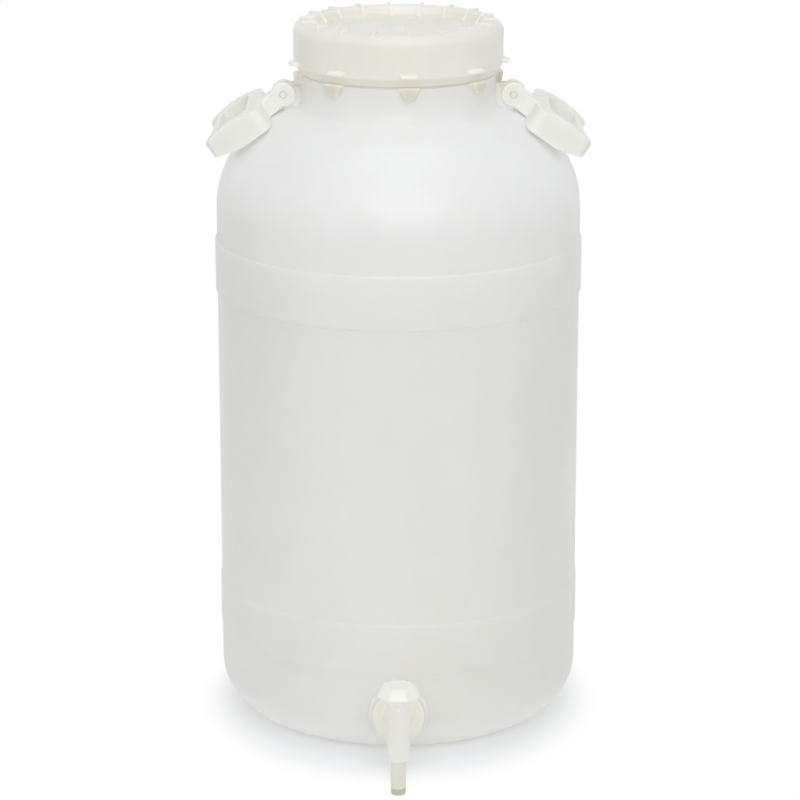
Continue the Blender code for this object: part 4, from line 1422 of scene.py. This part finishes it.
    def build_pin(self) -> bpy.types.Object:
        """Build the handle's pin.

        Returns:
            The pin's object.
        """
        reach = self.shell.tongue_thickness / 2 + GAP + self.eye_thickness
        radius, soft = self.shell.pin_radius, self.pin_round
        corners = [(0.0, -reach, 0.0), (radius, -reach, soft), (radius, reach, soft),
                   (0.0, reach, 0.0)]
        name = f"{self.side.name.lower()}_pin"
        return BENCH.settle(BENCH.turn(name, soften(corners, 3), self.hinge_line(), 32))


@dataclass
class PlugTap:
    """The tap: stem, flange, barrel and housing, the plug with its nozzle, and the knob.

    Attributes: sizes in metres, the same as the CAD pieces', but for the knob's taper, which follows
        the photograph.
    """

    shell: DrumShell
    reach: float = 0.0915
    stem_bore: float = 0.0070
    stem_inside: float = 0.022
    barrel: float = 0.0105
    barrel_flare: Point = (0.0035, 0.004)
    soft: float = 0.002
    flange: float = 0.024
    flange_thickness: float = 0.004
    flange_edge: float = 0.55
    washer: float = 0.0020
    washer_edges: Point = (0.0003, 0.0007)
    housing_low: float = 0.039
    housing_high: float = 0.100
    housing_top: float = 0.0120
    housing_foot: float = 0.0095
    foot_band: Point = (0.0003, 0.006)
    collar: Point = (0.0012, 0.007)
    collar_height: float = 0.0045
    nub: Point = (0.0020, 0.0016)
    nub_start: float = 0.005
    nub_rise: float = 0.0012
    nub_drop: float = 0.010
    plug_top: float = 0.0092
    plug_foot: float = 0.0074
    nozzle: float = 0.0070
    nozzle_bore: float = 0.0048
    nozzle_low: float = 0.006
    port: float = 0.0045
    tang: float = 0.0085
    tang_height: float = 0.0065
    knob: float = 0.039
    knob_height: float = 0.0103
    knob_sides: int = 8
    knob_taper: float = 0.66
    knob_corner: float = 0.0045
    knob_round: float = 0.0022
    dish_depth: float = 0.0009
    dish_floor: float = 0.0085
    dish_mouth: float = 0.0098

    def stem_line(self) -> Line:
        """Return the line through the stem."""
        return self.shell.pad_line()

    def plug_line(self) -> Line:
        """Return the line through the upright plug."""
        return Line(AXIS + FRONT * (self.shell.radius + self.reach), UP, RIGHT)

    def plug_radius(self, height: float) -> float:
        """Return the tapered plug's radius at a height."""
        share = (height - self.housing_low) / (self.housing_high - self.housing_low)
        return self.plug_foot + (self.plug_top - self.plug_foot) * share

    def build_body(self) -> bpy.types.Object:
        """Build the tap's body.

        Returns:
            The body's object.
        """
        stem = self.stem_line()
        back = self.shell.radius + self.shell.pad_rise + self.washer + 2 * GAP
        front = back + self.flange_thickness
        inside = self.shell.radius + self.shell.pad_rise - self.stem_inside
        far = self.shell.radius + self.reach
        flare, length = self.barrel_flare
        corners = [(0.0, inside, 0.0), (self.shell.stem_radius, inside, 0.0008),
                   (self.shell.stem_radius, back, 0.0), (self.flange, back, 0.0006),
                   (self.flange, back + self.flange_thickness * self.flange_edge, 0.0012),
                   (self.barrel + flare, front, self.soft), (self.barrel, front + length, self.soft),
                   (self.barrel, far, 0.0), (0.0, far, 0.0)]
        body = BENCH.turn("tap_moulding", soften(corners), stem, 64)
        upright = self.plug_line()
        low, high = self.housing_low, self.housing_high
        foot, top = self.housing_foot, self.housing_top
        draft, band = self.foot_band
        step, drop = self.collar
        corners = [(0.0, low, 0.0), (foot, low, 0.0010), (foot + draft, low + band, self.soft),
                   (top - step, high - drop, self.soft), (top, high - self.collar_height, 0.0012),
                   (top, high, 0.0008), (0.0, high, 0.0)]
        BENCH.join(body, BENCH.turn("housing", soften(corners), upright, 64))
        nub_line = Line(upright.origin + UP * (high - self.nub_drop), FRONT, UP)
        root, tip = self.nub
        near, crest = self.nub_start, top + self.nub_rise
        corners = [(0.0, near, 0.0), (root, near, 0.0), (tip, crest, 0.0008), (0.0, crest, 0.0)]
        BENCH.join(body, BENCH.turn("nub", soften(corners), nub_line, 24))
        bore = [(0.0, low - OVERRUN), (self.plug_radius(low - OVERRUN) + GAP, low - OVERRUN),
                (self.plug_radius(high + OVERRUN) + GAP, high + OVERRUN), (0.0, high + OVERRUN)]
        # The way goes first: cut after the bore, its tool's end stays behind in some builds.
        BENCH.cut(body, BENCH.rod("way", self.stem_bore, inside - OVERRUN, far, stem, 48))
        BENCH.cut(body, BENCH.turn("bore", bore, upright, 64))
        return BENCH.settle(body)

    def build_plug(self) -> bpy.types.Object:
        """Build the plug, hollow below and with a square tang above.

        Returns:
            The plug's object.
        """
        line = self.plug_line()
        top = self.housing_high + GAP
        height = self.shell.tap_height
        roof = height + self.port
        low = self.nozzle_low
        corners = [(0.0, top, 0.0), (self.plug_radius(top), top, 0.0005),
                   (self.plug_foot, self.housing_low, 0.0), (self.nozzle, self.housing_low - GAP, 0.0),
                   (self.nozzle, low + 0.012, 0.0), (self.nozzle - 0.0003, low, 0.0006),
                   (self.nozzle_bore, low, 0.0005), (self.nozzle_bore, roof, 0.001),
                   (0.0, roof + self.nozzle_bore / 2, 0.0)]
        plug = BENCH.turn("tap_plug_moulding", soften(corners, 3), line, 64)
        half = self.tang / 2
        corner = Vector((half, half, 0.0))
        tang = BENCH.block("tang", line.origin - corner + UP * (top - OVERRUN),
                           line.origin + corner + UP * (top + self.tang_height))
        BENCH.join(plug, tang)
        port_line = Line(line.origin + UP * height, RIGHT, UP)
        BENCH.cut(plug, BENCH.rod("port", self.port, 0.0, self.plug_top + OVERRUN, port_line, 32))
        return BENCH.settle(plug)

    def build_knob(self) -> bpy.types.Object:
        """Build the eight-sided knob with its square socket.

        Returns:
            The knob's object.
        """
        line = self.plug_line()
        low = self.housing_high + 2 * GAP
        reach = self.knob / 2 / math.cos(math.pi / self.knob_sides)
        half_side = 180.0 / self.knob_sides
        corners = arc((0.0, 0.0), reach, half_side, half_side + 360.0, self.knob_sides)[:-1]
        outline = soften([(x, y, self.knob_corner) for x, y in corners], closed=True)
        places = [line.origin + Vector((x, y, low)) for x, y in outline]
        knob = BENCH.prism("tap_knob_moulding", places, UP * self.knob_height)
        share = Vector((self.knob_taper, self.knob_taper, 1.0))
        BENCH.narrow(knob, lambda place: place.z > low + GAP, share, line.origin)
        BENCH.round_edges(knob, self.knob_round, 4, 50.0)
        high = low + self.knob_height
        floor = high - self.dish_depth
        corners = [(0.0, floor, 0.0), (self.dish_floor, floor, self.dish_depth),
                   (self.dish_mouth, high + OVERRUN, 0.0), (0.0, high + OVERRUN, 0.0)]
        BENCH.cut(knob, BENCH.turn("dish", soften(corners, 3), line, 64))
        socket = self.tang / 2 + GAP
        corner = Vector((socket, socket, 0.0))
        top = self.housing_high + GAP + self.tang_height + GAP
        BENCH.cut(knob, BENCH.block("socket", line.origin - corner + UP * (low - OVERRUN),
                                    line.origin + corner + UP * top))
        return BENCH.settle(knob)

    def build_washer(self, name: str, back: float, outer: float) -> bpy.types.Object:
        """Build a washer on the stem.

        Args:
            name: the piece's name.
            back: how far its back face is from the drum's axis.
            outer: its outer radius.

        Returns:
            The washer's object.
        """
        return BENCH.ring(name, (self.shell.stem_radius + GAP, outer), (back, back + self.washer),
                          self.washer_edges, self.stem_line())


@dataclass
class Studio:
    """The floor, the lamps, the world and the camera.

    Attributes:
        distance: how far the camera stands from the drum's axis, in metres.
        height: how high it stands.
        pitch: how far it looks down, in degrees.
        lens: its lens, in millimetres on a 36 mm frame.
        aside: how far it stands to the right.
        horizon: how bright the world is at the horizon, and zenith, overhead.
        floor_fade: how far from the drum the floor begins to fade, and ends.
        floor_white: how much of it is plain white near the drum.
        floor_stretch: how much sooner it fades to the sides.
        aim: how high the lamps look.
        lamps: each softbox's place from the axis, size, power and colour.
    """

    distance: float = 3.0
    height: float = 1.154
    pitch: float = 15.8545
    lens: float = 146.19
    aside: float = 0.0015
    horizon: float = 0.79
    zenith: float = 0.38
    floor_fade: Point = (0.170, 0.240)
    floor_white: float = 0.30
    floor_stretch: float = 1.2
    aim: float = 0.35
    lamps: dict = field(default_factory=lambda: {
        "top": ((0.0, -0.5, 2.6), 1.2, 9.5, (0.82, 0.91, 1.0)),
        "front": ((0.1, -3.4, 2.4), 2.6, 38.0, (1.0, 0.99, 0.97))})

    def camera(self) -> None:
        """Set the camera where the photograph was taken from."""
        data = bpy.data.cameras.new("camera")
        data.lens = self.lens
        data.sensor_width = 36.0
        camera = bpy.data.objects.new("camera", data)
        camera.location = AXIS + Vector((self.aside, -self.distance, self.height))
        camera.rotation_euler = (math.radians(90.0 - self.pitch), 0.0, 0.0)
        bpy.context.scene.collection.objects.link(camera)
        bpy.context.scene.camera = camera

    def white_seen(self, nodes: Nodes) -> bpy.types.NodeSocket:
        """Return 1 for rays that should see plain white: the camera's and mirror-like ones."""
        path = nodes.add("LightPath").outputs
        seen = nodes.sum("MAXIMUM", path["Is Camera Ray"], path["Is Glossy Ray"])
        return nodes.sum("MAXIMUM", seen, path["Is Transmission Ray"])

    def world(self) -> None:
        """Light the scene evenly from all round, against a white background."""
        world = bpy.data.worlds.new("studio")
        world.use_nodes = True
        bpy.context.scene.world = world
        nodes = Nodes(world.node_tree)
        world.node_tree.nodes.clear()
        plain = nodes.add("Background", Color=(1.0, 1.0, 1.0, 1.0), Strength=1.0)
        rise = nodes.add("SeparateXYZ", Vector=nodes.add("TexCoord").outputs["Generated"]).outputs[2]
        level = nodes.spread(rise, 0.0, 0.9, self.horizon, self.zenith)
        soft = nodes.add("Background", Color=(1.0, 0.99, 0.972, 1.0), Strength=level)
        mix = nodes.add("MixShader", n0=self.white_seen(nodes), n1=soft.outputs[0],
                        n2=plain.outputs[0])
        nodes.add("OutputWorld", n0=mix.outputs[0])

    def floor(self) -> None:
        """Lay a pale floor that fades to plain white away from the drum."""
        BENCH.clear()
        bpy.ops.mesh.primitive_plane_add(size=40.0, location=AXIS)
        floor = BENCH.named("floor")
        material = bpy.data.materials.new("pale floor")
        material.use_nodes = True
        nodes = Nodes(material.node_tree)
        material.node_tree.nodes.clear()
        place = nodes.add("TexCoord").outputs["Object"]
        wide = nodes.add("VectorMath", {"operation": "MULTIPLY"}, n0=place,
                         n1=(self.floor_stretch, 1.0, 1.0))
        away = nodes.add("VectorMath", {"operation": "LENGTH"}, n0=wide.outputs[0]).outputs["Value"]
        fade = nodes.sum("MULTIPLY", nodes.spread(away, *self.floor_fade, self.floor_white),
                         self.white_seen(nodes))
        matte = nodes.add("BsdfDiffuse", Color=(0.935, 0.955, 0.985, 1.0))
        white = nodes.add("Emission", Color=(1.0, 1.0, 1.0, 1.0), Strength=1.0)
        mix = nodes.add("MixShader", n0=fade, n1=matte.outputs[0], n2=white.outputs[0])
        nodes.add("OutputMaterial", n0=mix.outputs[0])
        floor.data.materials.append(material)

    def light(self) -> None:
        """Hang the softboxes."""
        aim = AXIS + UP * self.aim
        for name, (spot, size, power, tint) in self.lamps.items():
            data = bpy.data.lights.new(name, "AREA")
            data.shape = "DISK"
            data.size = size
            data.energy = power
            data.color = tint
            lamp = bpy.data.objects.new(name, data)
            lamp.location = AXIS + Vector(spot)
            lamp.rotation_euler = (aim - lamp.location).to_track_quat("-Z", "Y").to_euler()
            bpy.context.scene.collection.objects.link(lamp)

    def build(self) -> None:
        """Set up the whole studio."""
        self.camera()
        self.world()
        self.floor()
        self.light()
        bpy.context.scene.view_settings.view_transform = "Standard"


def dress_node(node: str, finish: bpy.types.Material) -> None:
    """Give a CAD node that stays its finish.

    Args:
        node: the node's name.
        finish: its material.
    """
    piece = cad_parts[node]
    for slot in piece.material_slots:
        slot.material = finish
    LOG.info("%s: kept from the frame, finish %s", node, finish.name)


def main() -> None:
    """Build the drum's looks piece by piece."""
    logging.basicConfig(level=logging.INFO, format="%(name)s: %(message)s")
    Studio().build()
    shell = DrumShell()
    kinds = (BODY_FINISH, LID_FINISH, HANDLE_FINISH, TAP_FINISH, SHADED_NOZZLE_FINISH, KNOB_FINISH,
             SEAL_FINISH)
    finishes = {finish: finish.make() for finish in kinds}
    Piece(shell.build(), "drum", "drum_body", "drum_plastic").hand_over(finishes[BODY_FINISH])
    Piece(ScrewLid().build(), "screw_lid", "screw_lid", "lid_plastic").hand_over(finishes[LID_FINISH])
    inner = InnerLid()
    Piece(inner.build_lid(), "inner_lid", "inner_lid", "lid_plastic").hand_over(finishes[LID_FINISH])
    seal = Piece(inner.build_seal(), "inner_lid", "lid_gasket", "seal_rubber")
    seal.hand_over(finishes[SEAL_FINISH])
    for side in Side:
        handle = FoldingHandle(side, shell)
        body = f"{side.name.lower()}_handle"
        Piece(handle.build_handle(), body, body, "handle_plastic").hand_over(finishes[HANDLE_FINISH])
        pin = Piece(handle.build_pin(), "drum", f"{body}_pin", "handle_plastic")
        pin.hand_over(finishes[HANDLE_FINISH])
    tap = PlugTap(shell)
    Piece(tap.build_body(), "drum", "tap_body", "tap_plastic").hand_over(finishes[TAP_FINISH])
    Piece(tap.build_plug(), "tap_plug", "tap_plug", "tap_plastic").hand_over(finishes[SHADED_NOZZLE_FINISH])
    Piece(tap.build_knob(), "tap_plug", "tap_knob", "knob_plastic").hand_over(finishes[KNOB_FINISH])
    face = shell.radius + shell.pad_rise
    outer = tap.build_washer("outer_washer", face + GAP, tap.flange - tap.flange_thickness / 2)
    Piece(outer, "drum", "tap_outer_washer", "seal_rubber").hand_over(finishes[SEAL_FINISH])
    dress_node("tap_inner_washer", finishes[SEAL_FINISH])
    dress_node("tap_nut", finishes[TAP_FINISH])
    BENCH.clear()


if __name__ == "__main__":
    main()
